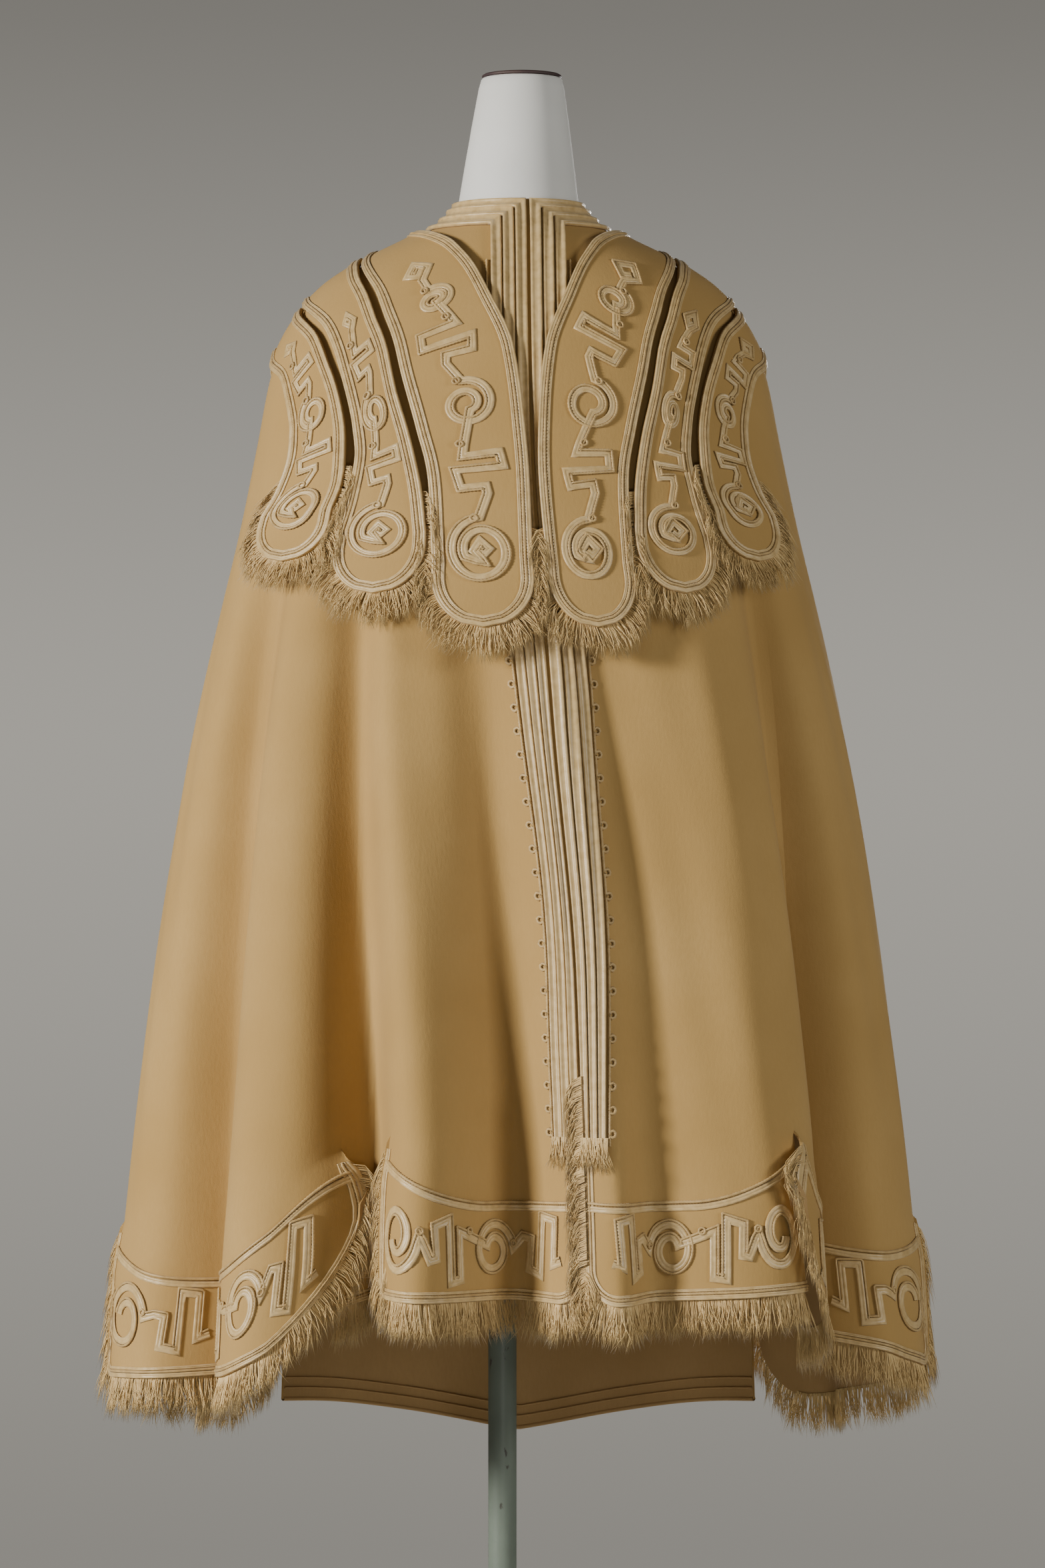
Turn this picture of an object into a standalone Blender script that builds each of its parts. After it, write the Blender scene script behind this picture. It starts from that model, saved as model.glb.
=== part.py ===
"""Fringed cape of felted wool with braided straps over the shoulders, on a limbless dress form.

Metres, +Z up, the front towards -Y. The origin is the middle of the stand's foot, on the floor.
Angles round the body are in degrees: 0 at the front opening, minus to the viewer's left, 180 behind.
"""

import math

import bmesh
import bpy
import numpy as np

# Driving sizes
CLOTH = 0.002
RIBBON_RAISED = 0.001
GAP = 0.0003
SEAM_HALF_GAP = 0.0003
GARMENT_X = 0.0135
NECK_EDGE_Z = 1.400
SLIT_LENGTH = 0.130
SLIT_HALF_GAP = 0.0006
BAND_WIDTH = 0.031
BAND_RIBBONS = 3
BAND_CLEAR = 0.0009
BAND_FROM_OPENING = 0.0014
BAND_INSET = 0.0006
BAND_ROW_STEP = 0.0004
BAND_BELOW_SLITS = 0.006
NECK_BAND_CLEAR = 0.0014
NECK_SLOPE = 0.72
BRAID_INSET = 0.0012
STRAP_EDGE_WIDTH = 0.008
STRAP_TURN_STEP = 15.0
HEM_BRAID_WIDTH = 0.008
HEM_BRAID_THICK = 0.0011
FRINGE_ROOT = (-0.0065, -0.0015)
FRINGE_UNDER = 0.0009
FRINGE_THICK = 0.0013
FRINGE_LENGTH = 0.030
LOCK_PITCH = 0.024
LOCK_SHARE = 0.80
LOCK_TAPER = 0.14
TIP_RISE = (0.0022, 0.0014)
TRIM_BACK = 0.003
UNDER_LIFT = -0.28
OVER_LIFT = 0.07
STRAP_FRINGE_UNDER = 0.0009
HEM_SIDEWAYS = 0.8
FRONT_SIDEWAYS = 0.1
STRAP_SIDEWAYS = 0.45
RIBBON_FOLD_AT = 0.0015
RIBBON_EDGE_AT = 0.0078
RIBBON_STRIP = 0.0010
RIBBON_TOP = 0.0022
LOBE_LIFT = 0.003
MITRE_LIMIT = 0.4
CORNER_LIMIT = 0.5
CORNER_COLUMNS = 1
UPPER_ROWS_SHARE = 0.985
MERGE_WITHIN = 0.00002
OPENING_FADES_BY = 60
FOLD_SHIFT_RATE = 1.4
FOLD_SHARE_LIMIT = 1.15
STRAP_EDGE_LIMIT = 0.6
POLE_RADIUS = 0.0119
TORSO_BOTTOM_Z = 0.820
NECK_SEAT_Z = 1.3865
NECK_TOP_Z = 1.507

# Outline of the smooth body under the folds
BODY_SECTIONS = {
    "z": (0.300, 0.347, 0.500, 0.586, 0.675, 0.787, 0.927, 1.040, 1.130, 1.200, 1.255, 1.291, 1.325,
          1.350, 1.368, 1.382, 1.392, 1.400, 1.410),
    "half_width": (0.340, 0.338, 0.330, 0.322, 0.312, 0.298, 0.277, 0.254, 0.233, 0.219, 0.208,
                   0.193, 0.165, 0.128, 0.092, 0.068, 0.058, 0.0535, 0.052),
    "front_depth": (0.240, 0.236, 0.228, 0.220, 0.212, 0.202, 0.188, 0.174, 0.158, 0.142, 0.126,
                    0.113, 0.098, 0.085, 0.075, 0.065, 0.058, 0.0535, 0.052),
    "back_depth": (0.284, 0.280, 0.264, 0.252, 0.238, 0.218, 0.192, 0.168, 0.146, 0.132, 0.121,
                   0.112, 0.099, 0.086, 0.075, 0.065, 0.058, 0.0535, 0.052),
    "centre_y": (0.0, 0.0, 0.0, 0.0, 0.0, 0.0, 0.0, 0.0, 0.0, 0.001, 0.002, 0.003, 0.005,
                 0.007, 0.008, 0.009, 0.010, 0.010, 0.010),
}

# Where the front opening lies, left or right of the middle
OPENING = {
    "z": (0.30, 0.50, 0.75, 0.97, 1.20, 1.30, 1.382, 1.41),
    "x": (0.058, 0.056, 0.047, 0.027, 0.011, 0.009, 0.008, 0.007),
}

# Lower edge of the cloth
HEM = {
    "angle": (-180, -152, -135, -110, -83, -60, -47, -40, -33, -25, 0,
              25, 40, 45, 60, 83, 110, 135, 152, 180),
    "z": (0.347, 0.366, 0.375, 0.395, 0.418, 0.426, 0.434, 0.452, 0.488, 0.500, 0.495,
          0.500, 0.503, 0.478, 0.455, 0.425, 0.395, 0.375, 0.366, 0.347),
}

# Folds: angle near the chest, angle at the hem, half width in degrees, depth at the hem, top
FOLDS = (
    ("valley left of the opening", -8.0, -10.5, 5.5, -0.030, 1.08),
    ("left ridge by the first slit", -17.0, -20.5, 4.5, 0.018, 1.12),
    ("left front valley", -25.0, -29.5, 4.8, -0.066, 1.18),
    ("left front ridge", -38.0, -42.0, 8.0, 0.020, 1.14),
    ("left side valley", -54.0, -57.5, 6.0, -0.066, 1.16),
    ("left side ridge", -80.0, -83.0, 11.0, 0.006, 1.05),
    ("ridge right of the opening", 5.0, 6.0, 4.0, 0.014, 1.00),
    ("shallow right valley", 15.0, 17.5, 7.0, -0.024, 1.12),
    ("right front ridge", 36.0, 41.0, 8.5, 0.018, 1.14),
    ("right side valley", 52.0, 56.5, 6.0, -0.066, 1.18),
    ("right side ridge", 80.0, 83.0, 11.0, 0.006, 1.05),
    ("left back valley", -110.0, -112.0, 9.0, -0.038, 1.08),
    ("right back valley", 110.0, 112.0, 9.0, -0.036, 1.08),
    ("left back ridge", -150.0, -153.0, 8.0, 0.022, 1.12),
    ("right back ridge", 150.0, 153.0, 8.0, 0.022, 1.12),
    ("centre back valley", 180.0, 180.0, 14.0, -0.062, 1.16),
)
FOLD_BOTTOM_Z = 0.42
FOLD_GROWTH = 1.1
BACK_STRAP_DROP = 0.004
NECK_STATIONS = 12

# Rows down the cloth, as shares of each line's length, then rows below the tops of the slits
ROWS = (0.0, 0.010, 0.022, 0.040, 0.065, 0.10, 0.15, 0.22, 0.31, 0.43, 0.56, 0.69, 0.82)
LOWER_ROWS = (0.0, 0.13, 0.36, 0.68, 1.0)
LIFT_SHARES = (0.0, 0.50, 1.0, 1.0, 1.0)
BULGE_SHARES = (0.0, 0.0, 0.55, 1.0, 0.55)

# Cloth pieces: columns of each stretch between slits, starting at the one nearer the front
PANELS = {
    "cape_front_left": ((0, -4, -8, -12, -16.5, -20.5, -25), (-25, -27.3, -29.5, -31.5, -33),
                        (-33, -36, -39.5, -43.5, -47.5, -51, -54, -57)),
    "cape_side_left": ((-57, -60, -64, -70, -76, -83), (-83, -86, -92, -99, -106, -112, -118, -125,
                                                        -133, -139, -142)),
    "cape_front_right": ((0, 2.5, 6, 10.5, 15, 20, 26, 32, 36.5, 40), (40, 43, 46.5, 50, 53.5, 57)),
    "cape_side_right": ((57, 60, 64, 70, 76, 83), (83, 86, 92, 99, 106, 112, 118, 125,
                                                   133, 139, 142)),
    "cape_back": ((142, 145, 149, 153, 158, 164, 170, 175, 180, 185, 190, 196, 202, 207, 211, 215,
                   218),),
}
SLITS = (-25, -33, -83, 40, 83)
BACK_SLITS = (-142, 142)

# Rounded corner at each slit: radius, lift over its neighbour, bulge beyond the slit, reach
CORNERS = {
    0: (0.030, 0.0, 0.0, 0.030),
    -25: (0.034, 0.0080, 0.006, 0.040),
    -33: (0.085, 0.0120, 0.020, 0.070),
    -83: (0.085, 0.0120, 0.020, 0.070),
    40: (0.075, 0.0120, 0.018, 0.070),
    83: (0.085, 0.0120, 0.020, 0.070),
    -142: (0.070, 0.0100, 0.006, 0.060),
    142: (0.070, 0.0100, 0.006, 0.060),
}
NO_CORNER = (0.0, 0.0, 0.0, 1.0)

# Straps from the shoulder down the front: inner angle and height, outer angle and height, lift
STRAPS = (
    ("inner", 1.037, (
        (90.0, 1.3725, 90.0, 1.3525, 0.0024),
        (60.0, 1.3700, 60.0, 1.3380, 0.0030),
        (33.0, 1.3610, 43.5, 1.3180, 0.0036),
        (17.0, 1.3400, 36.0, 1.2960, 0.0042),
        (9.5, 1.3120, 31.0, 1.2720, 0.0045),
        (3.6, 1.2700, 27.4, 1.2400, 0.0050),
        (1.6, 1.2150, 23.6, 1.2000, 0.0055),
        (0.9, 1.1600, 20.6, 1.1600, 0.0065),
        (1.2, 1.0900, 19.0, 1.0900, 0.0105),
    )),
    ("middle", 1.065, (
        (90.0, 1.3500, 90.0, 1.3130, 0.0032),
        (65.0, 1.3400, 70.0, 1.3040, 0.0036),
        (45.5, 1.3160, 55.5, 1.2900, 0.0040),
        (37.6, 1.2930, 47.5, 1.2680, 0.0044),
        (32.6, 1.2700, 43.2, 1.2450, 0.0048),
        (28.4, 1.2300, 38.6, 1.2060, 0.0055),
        (24.4, 1.1900, 36.8, 1.1750, 0.0062),
        (21.6, 1.1500, 37.4, 1.1450, 0.0078),
        (20.2, 1.1150, 38.8, 1.1120, 0.0095),
    )),
    ("outer", 1.092, (
        (90.0, 1.3105, 90.0, 1.2700, 0.0016),
        (72.0, 1.3005, 78.0, 1.2580, 0.0026),
        (57.0, 1.2850, 67.0, 1.2480, 0.0042),
        (48.6, 1.2600, 61.0, 1.2270, 0.0048),
        (43.0, 1.2300, 57.0, 1.2000, 0.0055),
        (39.8, 1.1950, 56.0, 1.1780, 0.0064),
        (38.8, 1.1600, 57.5, 1.1520, 0.0080),
        (40.2, 1.1340, 60.5, 1.1300, 0.0105),
    )),
)
LOBE_ROWS = ((0.28, 1.00), (0.62, 0.80), (0.86, 0.52), (0.975, 0.24))

# How many cross lines of each strap, from its tip, carry fringe: neck side, then arm side
FRINGE_STARTS = {"inner": (3, 3), "middle": (3, 3), "outer": (3, 4)}

# The form: height, half width, front and back depth, below where the cloth rests on it
TORSO_SECTIONS = (
    (1.268, 0.178, 0.103, 0.104),
    (1.240, 0.166, 0.112, 0.106),
    (1.180, 0.152, 0.132, 0.103),
    (1.110, 0.140, 0.118, 0.096),
    (1.020, 0.118, 0.088, 0.084),
    (0.940, 0.146, 0.102, 0.112),
    (0.870, 0.164, 0.110, 0.124),
    (TORSO_BOTTOM_Z, 0.166, 0.110, 0.122),
)
SHOULDER_RINGS = (1.3860, 1.3800, 1.370, 1.358, 1.344, 1.327, 1.310, 1.292)
TORSO_SIDES = 32
TORSO_Y = 0.003
SHOULDER_CLEAR = 0.0034

# The neck: height, radius and lean to the viewer's right, from the torso up
NECK_TOP_SHIFT = 0.0028
NECK_Y = 0.010
NECK_SECTIONS = (
    (NECK_SEAT_Z, 0.0512, 0.0),
    (NECK_EDGE_Z, 0.0507, 0.0),
    (1.430, 0.0465, 0.0008),
    (1.470, 0.0405, 0.0018),
    (1.498, 0.0360, 0.0026),
    (NECK_TOP_Z, 0.0335, NECK_TOP_SHIFT),
)

# Turned pieces, as radius and height from the axis on top to the axis below
FOOT_PROFILE = ((0, 0.054), (0.018, 0.054), (0.022, 0.050), (0.026, 0.024), (0.060, 0.018),
                (0.166, 0.011), (0.170, 0.008), (0.170, 0.002), (0.168, 0), (0, 0))
CAP_PROFILE = ((0, 0.0034), (0.026, 0.0034), (0.031, 0.0028), (0.0336, 0.0012), (0.0332, 0), (0, 0))
FOOT_SIDES = 36
CAP_SIDES = 24
POLE_SIDES = 20

COLOURS = {
    "wool": (0.55, 0.41, 0.23),
    "satin": (0.66, 0.55, 0.38),
    "fringe": (0.62, 0.50, 0.32),
    "form": (0.82, 0.82, 0.79),
    "cap": (0.07, 0.05, 0.05),
    "paint": (0.24, 0.27, 0.22),
}
ROUGHNESS = {"wool": 0.9, "satin": 0.4, "fringe": 0.6, "form": 0.7, "cap": 0.5, "paint": 0.5}


def smooth_curve(xs, ys, x):
    """A monotone cubic through the points, which doesn't overshoot."""
    xs = np.asarray(xs, float)
    ys = np.asarray(ys, float)
    slope = np.diff(ys) / np.diff(xs)
    tangent = np.zeros(len(xs))
    same_way = slope[:-1] * slope[1:] > 0
    tangent[1:-1] = np.where(
        same_way, 2 * slope[:-1] * slope[1:] / np.where(same_way, slope[:-1] + slope[1:], 1), 0)
    tangent[0], tangent[-1] = slope[0], slope[-1]
    x = np.clip(x, xs[0], xs[-1])
    i = np.clip(np.searchsorted(xs, x) - 1, 0, len(slope) - 1)
    step = xs[i + 1] - xs[i]
    t = (x - xs[i]) / step
    return (ys[i] * (2 * t**3 - 3 * t**2 + 1) + tangent[i] * step * (t**3 - 2 * t**2 + t)
            + ys[i + 1] * (3 * t**2 - 2 * t**3) + tangent[i + 1] * step * (t**3 - t**2))


def section(z, column):
    return smooth_curve(BODY_SECTIONS["z"], BODY_SECTIONS[column], z)


def turned(angle, z):
    """The true angle on the body's section: near the front, angles follow the opening."""
    opening = np.degrees(np.arcsin(smooth_curve(OPENING["z"], OPENING["x"], z)
                                   / section(z, "half_width")))
    wrapped = (angle + 180) % 360 - 180
    return angle + opening * np.clip(1 - np.abs(wrapped) / OPENING_FADES_BY, 0, 1)


def fold_depth(angle, z):
    total = np.zeros(np.broadcast(angle, z).shape)
    for _, chest, hem, half_width, depth, top in FOLDS:
        share = np.clip((top - z) / (top - FOLD_BOTTOM_Z), 0, FOLD_SHARE_LIMIT)
        middle = chest + (hem - chest) * np.clip(share * FOLD_SHIFT_RATE, 0, 1)
        away = (angle - middle + 180) % 360 - 180
        total = total + depth * share**FOLD_GROWTH * np.exp(-(away / half_width) ** 2)
    return total


def body_point(angle, z, folded=True):
    angle = np.asarray(angle, float)
    z = np.asarray(z, float)
    phi = np.radians(turned(angle, z))
    half_width = section(z, "half_width")
    depth = np.where(np.cos(phi) > 0, section(z, "front_depth"), section(z, "back_depth"))
    normal = np.stack([np.sin(phi) / half_width, -np.cos(phi) / depth], -1)
    normal /= np.linalg.norm(normal, axis=-1, keepdims=True)
    out = fold_depth(angle, z) if folded else np.zeros(phi.shape)
    return np.stack([
        GARMENT_X + half_width * np.sin(phi) + out * normal[..., 0],
        section(z, "centre_y") - depth * np.cos(phi) + out * normal[..., 1],
        z + 0 * phi,
    ], -1)


def cloth_point(angle, z, out=0.0, folded=True):
    """A point on the cloth's outer face, or that far out from it along its normal."""
    turn, drop = 0.4, 0.0015
    angle, z, out = np.broadcast_arrays(np.asarray(angle, float), np.asarray(z, float),
                                        np.asarray(out, float))
    across = body_point(angle + turn, z, folded) - body_point(angle - turn, z, folded)
    down = body_point(angle, z - drop, folded) - body_point(angle, z + drop, folded)
    normal = np.cross(down, across)
    normal /= np.linalg.norm(normal, axis=-1, keepdims=True)
    return body_point(angle, z, folded) + normal * out[..., None]


def metres_per_degree(angle, z):
    turn = 0.3
    step = body_point(angle + turn, z) - body_point(angle - turn, z)
    return np.linalg.norm(step, axis=-1) / (2 * turn)


def hem_height(angle):
    wrapped = (np.asarray(angle, float) + 180) % 360 - 180
    return smooth_curve(HEM["angle"], HEM["z"], wrapped)


def reach_from(start, angle):
    """Length of the hem from one angle to another."""
    path = np.linspace(start, angle, 40)
    points = body_point(path, hem_height(path))
    return float(np.linalg.norm(np.diff(points, axis=0), axis=1).sum())


def corner_rise(distance, radius):
    """How much higher a rounded corner is than the hem, this far from its edge."""
    short = max(0.0, radius - distance)
    return radius - math.sqrt(radius**2 - short**2)


def material(kind):
    name = "mat_" + kind
    found = bpy.data.materials.get(name)
    if found:
        return found
    made = bpy.data.materials.new(name)
    made.use_nodes = True
    shader = made.node_tree.nodes["Principled BSDF"]
    shader.inputs["Base Color"].default_value = (*COLOURS[kind], 1)
    shader.inputs["Roughness"].default_value = ROUGHNESS[kind]
    shader.inputs["Metallic"].default_value = 0.0
    return made


def new_object(name, mesh, kind):
    obj = bpy.data.objects.new(name, mesh)
    obj.data.materials.append(material(kind))
    bpy.data.collections["fringed_cape"].objects.link(obj)
    return obj


def grid_faces(rows, columns, start=0):
    return [(start + r * columns + c, start + r * columns + c + 1,
             start + (r + 1) * columns + c + 1, start + (r + 1) * columns + c)
            for r in range(rows - 1) for c in range(columns - 1)]


def outward(mesh_data):
    shape = bmesh.new()
    shape.from_mesh(mesh_data)
    bmesh.ops.recalc_face_normals(shape, faces=shape.faces)
    shape.to_mesh(mesh_data)
    shape.free()


def halved(a, b, c, d):
    """A four-sided face as two triangles that meet between its first and third corners."""
    return [(a, b, c), (a, c, d)]


def wall_between(name, outer, inner, kind):
    """A closed wall from two grids of points: an outer face, an inner one and a rim.

    Both faces are split along the same diagonals, so that a twisted wall keeps its thickness.
    """
    rows, columns = outer.shape[:2]
    count = rows * columns
    points = np.concatenate([outer.reshape(-1, 3), inner.reshape(-1, 3)])
    halves = [half for f in grid_faces(rows, columns) for half in halved(*f)]
    faces = halves + [tuple(i + count for i in reversed(half)) for half in halves]
    edge = ([(0, c) for c in range(columns)] + [(r, columns - 1) for r in range(1, rows)]
            + [(rows - 1, c) for c in range(columns - 2, -1, -1)]
            + [(r, 0) for r in range(rows - 2, 0, -1)])
    ring = [r * columns + c for r, c in edge]
    for a, b in zip(ring, ring[1:] + ring[:1]):
        faces.append((b, a, a + count, b + count))
    mesh = bpy.data.meshes.new(name)
    mesh.from_pydata([tuple(p) for p in points], [], faces)
    outward(mesh)
    return new_object(name, mesh, kind)


def stretch_grid(columns, has_corners=True):
    """Angle, height and lift of one stretch of cloth between two slits, from neck to hem."""
    first = CORNERS.get(columns[0], NO_CORNER) if has_corners else NO_CORNER
    last = CORNERS[columns[-1]] if has_corners and columns[-1] in BACK_SLITS else NO_CORNER
    turn = 1 if columns[-1] > columns[0] else -1
    angles, heights, lifts = [], [], []
    for angle in columns:
        hem = float(hem_height(angle))
        slit_z = hem + SLIT_LENGTH
        near = (reach_from(columns[0], angle), reach_from(angle, columns[-1]))
        bottom, lift, bulge = hem, 0.0, 0.0
        for distance, corner, way in zip(near, (first, last), (-turn, turn)):
            radius, corner_lift, corner_bulge, reach = corner
            bottom = max(bottom, hem + corner_rise(distance, radius))
            fade = max(0.0, 1 - distance / reach)**1.5
            lift += corner_lift * fade
            bulge += way * corner_bulge * fade
        upper_length = (NECK_EDGE_Z - slit_z) * UPPER_ROWS_SHARE
        upper = NECK_EDGE_Z - np.array(ROWS) / ROWS[-1] * upper_length
        lower = slit_z + (bottom - slit_z) * np.array(LOWER_ROWS)
        z = np.concatenate([upper, lower])
        shift = np.concatenate([0 * upper, bulge * np.array(BULGE_SHARES)])
        angles.append(angle + shift / metres_per_degree(angle, z))
        heights.append(z)
        lifts.append(np.concatenate([0 * upper, lift * np.array(LIFT_SHARES)]))
    return [np.array(v).T for v in (angles, heights, lifts)]


def part_edges(angles, heights, columns, outer_edges):
    """Draw a stretch's edges back from the seams, and from the slits below their tops."""
    turn = 1 if columns[-1] > columns[0] else -1
    below = np.arange(len(angles)) > len(ROWS)
    for k, way, is_outer in ((0, turn, outer_edges[0]), (-1, -turn, outer_edges[1])):
        is_slit = abs(columns[k]) in (abs(a) for a in (*SLITS, *BACK_SLITS))
        back = np.full(len(angles), SEAM_HALF_GAP if is_outer else 0.0)
        if is_slit:
            back[below] = SLIT_HALF_GAP
        angles[:, k] += way * back / metres_per_degree(columns[k], heights[:, k])
    return angles


def make_panel(name, stretches):
    """One cloth piece: stretches that share their edges above the slits and part below them."""
    points, faces = [], []
    for i, columns in enumerate(stretches):
        angles, heights, lifts = stretch_grid(columns, name != "cape_back")
        angles = part_edges(angles, heights, columns, (i == 0, i == len(stretches) - 1))
        rows, count = angles.shape
        faces += grid_faces(rows, count, len(points))
        points += [tuple(p) for p in cloth_point(angles, heights, lifts).reshape(-1, 3)]
    mesh = bpy.data.meshes.new(name)
    mesh.from_pydata(points, [], faces)
    shape = bmesh.new()
    shape.from_mesh(mesh)
    bmesh.ops.remove_doubles(shape, verts=shape.verts, dist=MERGE_WITHIN)
    bmesh.ops.recalc_face_normals(shape, faces=shape.faces)
    top = max(shape.faces, key=lambda f: f.calc_center_median().z)
    centre = top.calc_center_median()
    if top.normal.x * (centre.x - GARMENT_X) + top.normal.y * centre.y < 0:
        bmesh.ops.reverse_faces(shape, faces=shape.faces)
    shape.to_mesh(mesh)
    shape.free()
    obj = new_object(name, mesh, "wool")
    solid = obj.modifiers.new("thickness", "SOLIDIFY")
    solid.thickness = CLOTH
    solid.offset = -1
    solid.use_even_offset = True
    return obj


def front_band(name, side):
    """Three rows of folded ribbon down one front edge, on one strip, with a mitred top."""
    across, raised = ribbon_profile()
    bottom = float(hem_height(side * 3.0)) + SLIT_LENGTH + BAND_BELOW_SLITS
    outer, inner = [], []
    for k, share in enumerate(ROWS):
        top = NECK_EDGE_Z - BAND_INSET - across * NECK_SLOPE
        level = NECK_EDGE_Z - share / ROWS[-1] * (NECK_EDGE_Z - bottom)
        z = np.minimum(top, level) - BAND_ROW_STEP * k
        angle = side * (across + BAND_FROM_OPENING) / metres_per_degree(side * 2.0, z)
        outer.append(cloth_point(angle, z, BAND_CLEAR + raised))
        inner.append(cloth_point(angle, z, BAND_CLEAR))
    return wall_between(name, np.array(outer), np.array(inner), "satin")


def ribbon_profile():
    """Across a band: where each ribbon's edges and the lower strip between them lie."""
    pitch = BAND_WIDTH / BAND_RIBBONS
    across, raised = [], []
    for k in range(BAND_RIBBONS):
        across += [k * pitch, k * pitch + RIBBON_FOLD_AT, k * pitch + RIBBON_EDGE_AT]
        raised += [RIBBON_STRIP, RIBBON_TOP, RIBBON_TOP]
    across.append(BAND_WIDTH - RIBBON_STRIP)
    raised.append(RIBBON_STRIP)
    return np.array(across), np.array(raised)


def neck_band(name, side):
    """The same rows of ribbon round half the neck, with a mitred front end."""
    across, raised = ribbon_profile()
    z = NECK_EDGE_Z - BAND_INSET - across * NECK_SLOPE
    start = (across + 2 * BAND_FROM_OPENING) / metres_per_degree(side * 2.0, z)
    end = 180 - GAP / 2 / metres_per_degree(180.0, z)
    outer, inner = [], []
    for share in np.linspace(0, 1, NECK_STATIONS):
        angle = side * (start + (end - start) * share)
        outer.append(cloth_point(angle, z, NECK_BAND_CLEAR + raised))
        inner.append(cloth_point(angle, z, NECK_BAND_CLEAR))
    return wall_between(name, np.array(outer), np.array(inner), "satin")


def strap_lines(bottom, rows):
    """Cross lines of half a strap, from the shoulder to the tip of its rounded end."""
    lines = [np.array(rows[0])]
    for row in rows[1:]:
        before = lines[-1]
        row = np.array(row)
        steps = math.ceil(max(abs(row[0] - before[0]), abs(row[2] - before[2])) / STRAP_TURN_STEP)
        lines += [before + (row - before) * k / steps for k in range(1, steps + 1)]
    last = lines[-1]
    middle, half = (last[0] + last[2]) / 2, (last[2] - last[0]) / 2
    for share, width in LOBE_ROWS:
        lines.append(np.array([middle - half * width, last[1] + (bottom - last[1]) * share,
                               middle + half * width, last[3] + (bottom - last[3]) * share,
                               last[4] + LOBE_LIFT * share]))
    return lines


def around(angle, side, behind):
    """An angle on the left or right, in front or at the same place behind."""
    return side * (180 - angle if behind else angle)


def strap_point(line, share, out, side, behind):
    """A point across a strap: share -1 at the edge by the neck, 1 at the other."""
    t = (share + 1) / 2
    angle, z = line[0] + (line[2] - line[0]) * t, line[1] + (line[3] - line[1]) * t
    drop = BACK_STRAP_DROP if behind else 0.0
    return cloth_point(around(angle, side, behind), z - drop, line[4] + out, folded=False)


def make_strap(name, bottom, rows, side):
    """A strap from its front end over the shoulder to its back end, with raised edges."""
    half = strap_lines(bottom, rows)
    outer, inner = [], []
    for line, behind in [(v, False) for v in half[::-1]] + [(v, True) for v in half[1:]]:
        ends = (strap_point(line, s, 0, side, behind) for s in (-1, 1))
        width = float(np.linalg.norm(np.subtract(*ends)))
        flat = 1 - min(STRAP_EDGE_LIMIT, 2 * STRAP_EDGE_WIDTH / width)
        shares = (-1.0, -flat, flat, 1.0)
        heights = (CLOTH + RIBBON_RAISED, CLOTH, CLOTH, CLOTH + RIBBON_RAISED)
        outer.append([strap_point(line, s, h, side, behind) for s, h in zip(shares, heights)])
        inner.append([strap_point(line, s, 0.0, side, behind) for s in shares])
    return wall_between(name, np.array(outer), np.array(inner), "wool")


def edge_normals(path, scale):
    """Unit vectors out of the edge at each point of a path, along the cloth and down it."""
    step = np.diff(path[:, :2], axis=0)
    step[:, 0] *= (scale[1:] + scale[:-1]) / 2
    step /= np.linalg.norm(step, axis=1, keepdims=True)
    normal = np.stack([step[:, 1], -step[:, 0]], 1)
    total = np.concatenate([normal[:1], normal[:-1] + normal[1:], normal[-1:]])
    return total / np.linalg.norm(total, axis=1, keepdims=True)


def tip_reach(path, scale, sideways):
    """How far the tips of the locks lie from the edge: along the cloth in degrees, and down."""
    reach = edge_normals(path, scale) * [sideways, 0] + [0, -1]
    reach /= np.linalg.norm(reach, axis=1, keepdims=True)
    return reach * FRINGE_LENGTH / np.stack([scale, np.ones(len(scale))], 1)


def edge_fringe(name, corners):
    """Fringe along an edge: a narrow strip under the cloth with a lock fused in every stretch.

    corners are six rows of points along the edge: the strip's upper edge within and without,
    its lower edge without and within, and the tips of the locks without and within.
    """
    length = np.linalg.norm(np.diff(corners[2], axis=0), axis=1)
    spots = []
    for k, span in enumerate(length):
        locks = max(1, round(float(span) / LOCK_PITCH))
        spots += [(k, (j + part) / locks) for j in range(locks) for part in (0.0, LOCK_SHARE)]
    root = [[c[k] + (c[k + 1] - c[k]) * t for c in corners] for k, t in spots]
    points = [p for r in root for p in r[:4]]
    last = 4 * (len(root) - 1)
    faces = [(0, 1, 2, 3), (last + 3, last + 2, last + 1, last)]
    for k in range(len(root) - 1):
        a, b = 4 * k, 4 * (k + 1)
        faces.append((a, b, b + 1, a + 1))
        faces += halved(a + 1, b + 1, b + 2, a + 2) + halved(a, a + 3, b + 3, b)
        if k % 2:
            faces.append((a + 2, b + 2, b + 3, a + 3))
            continue
        start = len(points)
        near, far = root[k], root[k + 1]
        for a_end, b_end, which in ((near, far, 4), (far, near, 4), (far, near, 5), (near, far, 5)):
            points.append(a_end[which] + (b_end[which] - a_end[which]) * LOCK_TAPER)
        faces += halved(a + 2, b + 2, start + 1, start)
        faces += halved(a + 3, start + 3, start + 2, b + 3)
        faces += [(b + 2, b + 3, start + 2, start + 1), (a + 3, a + 2, start, start + 3)]
        faces.append((start, start + 1, start + 2, start + 3))
    mesh = bpy.data.meshes.new(name)
    mesh.from_pydata([tuple(p) for p in points], [], faces)
    outward(mesh)
    return new_object(name, mesh, "fringe")


def unit(vectors):
    return vectors / np.linalg.norm(vectors, axis=-1, keepdims=True)


def mean_steps(points, axis=0):
    """The way on at each point: the mean of the unit steps to it and from it."""
    step = unit(np.moveaxis(np.diff(points, axis=axis), axis, 0))
    total = np.concatenate([step[:1] * 2, step[:-1] + step[1:], step[-1:] * 2]) / 2
    return np.moveaxis(total, 0, axis)


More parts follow.
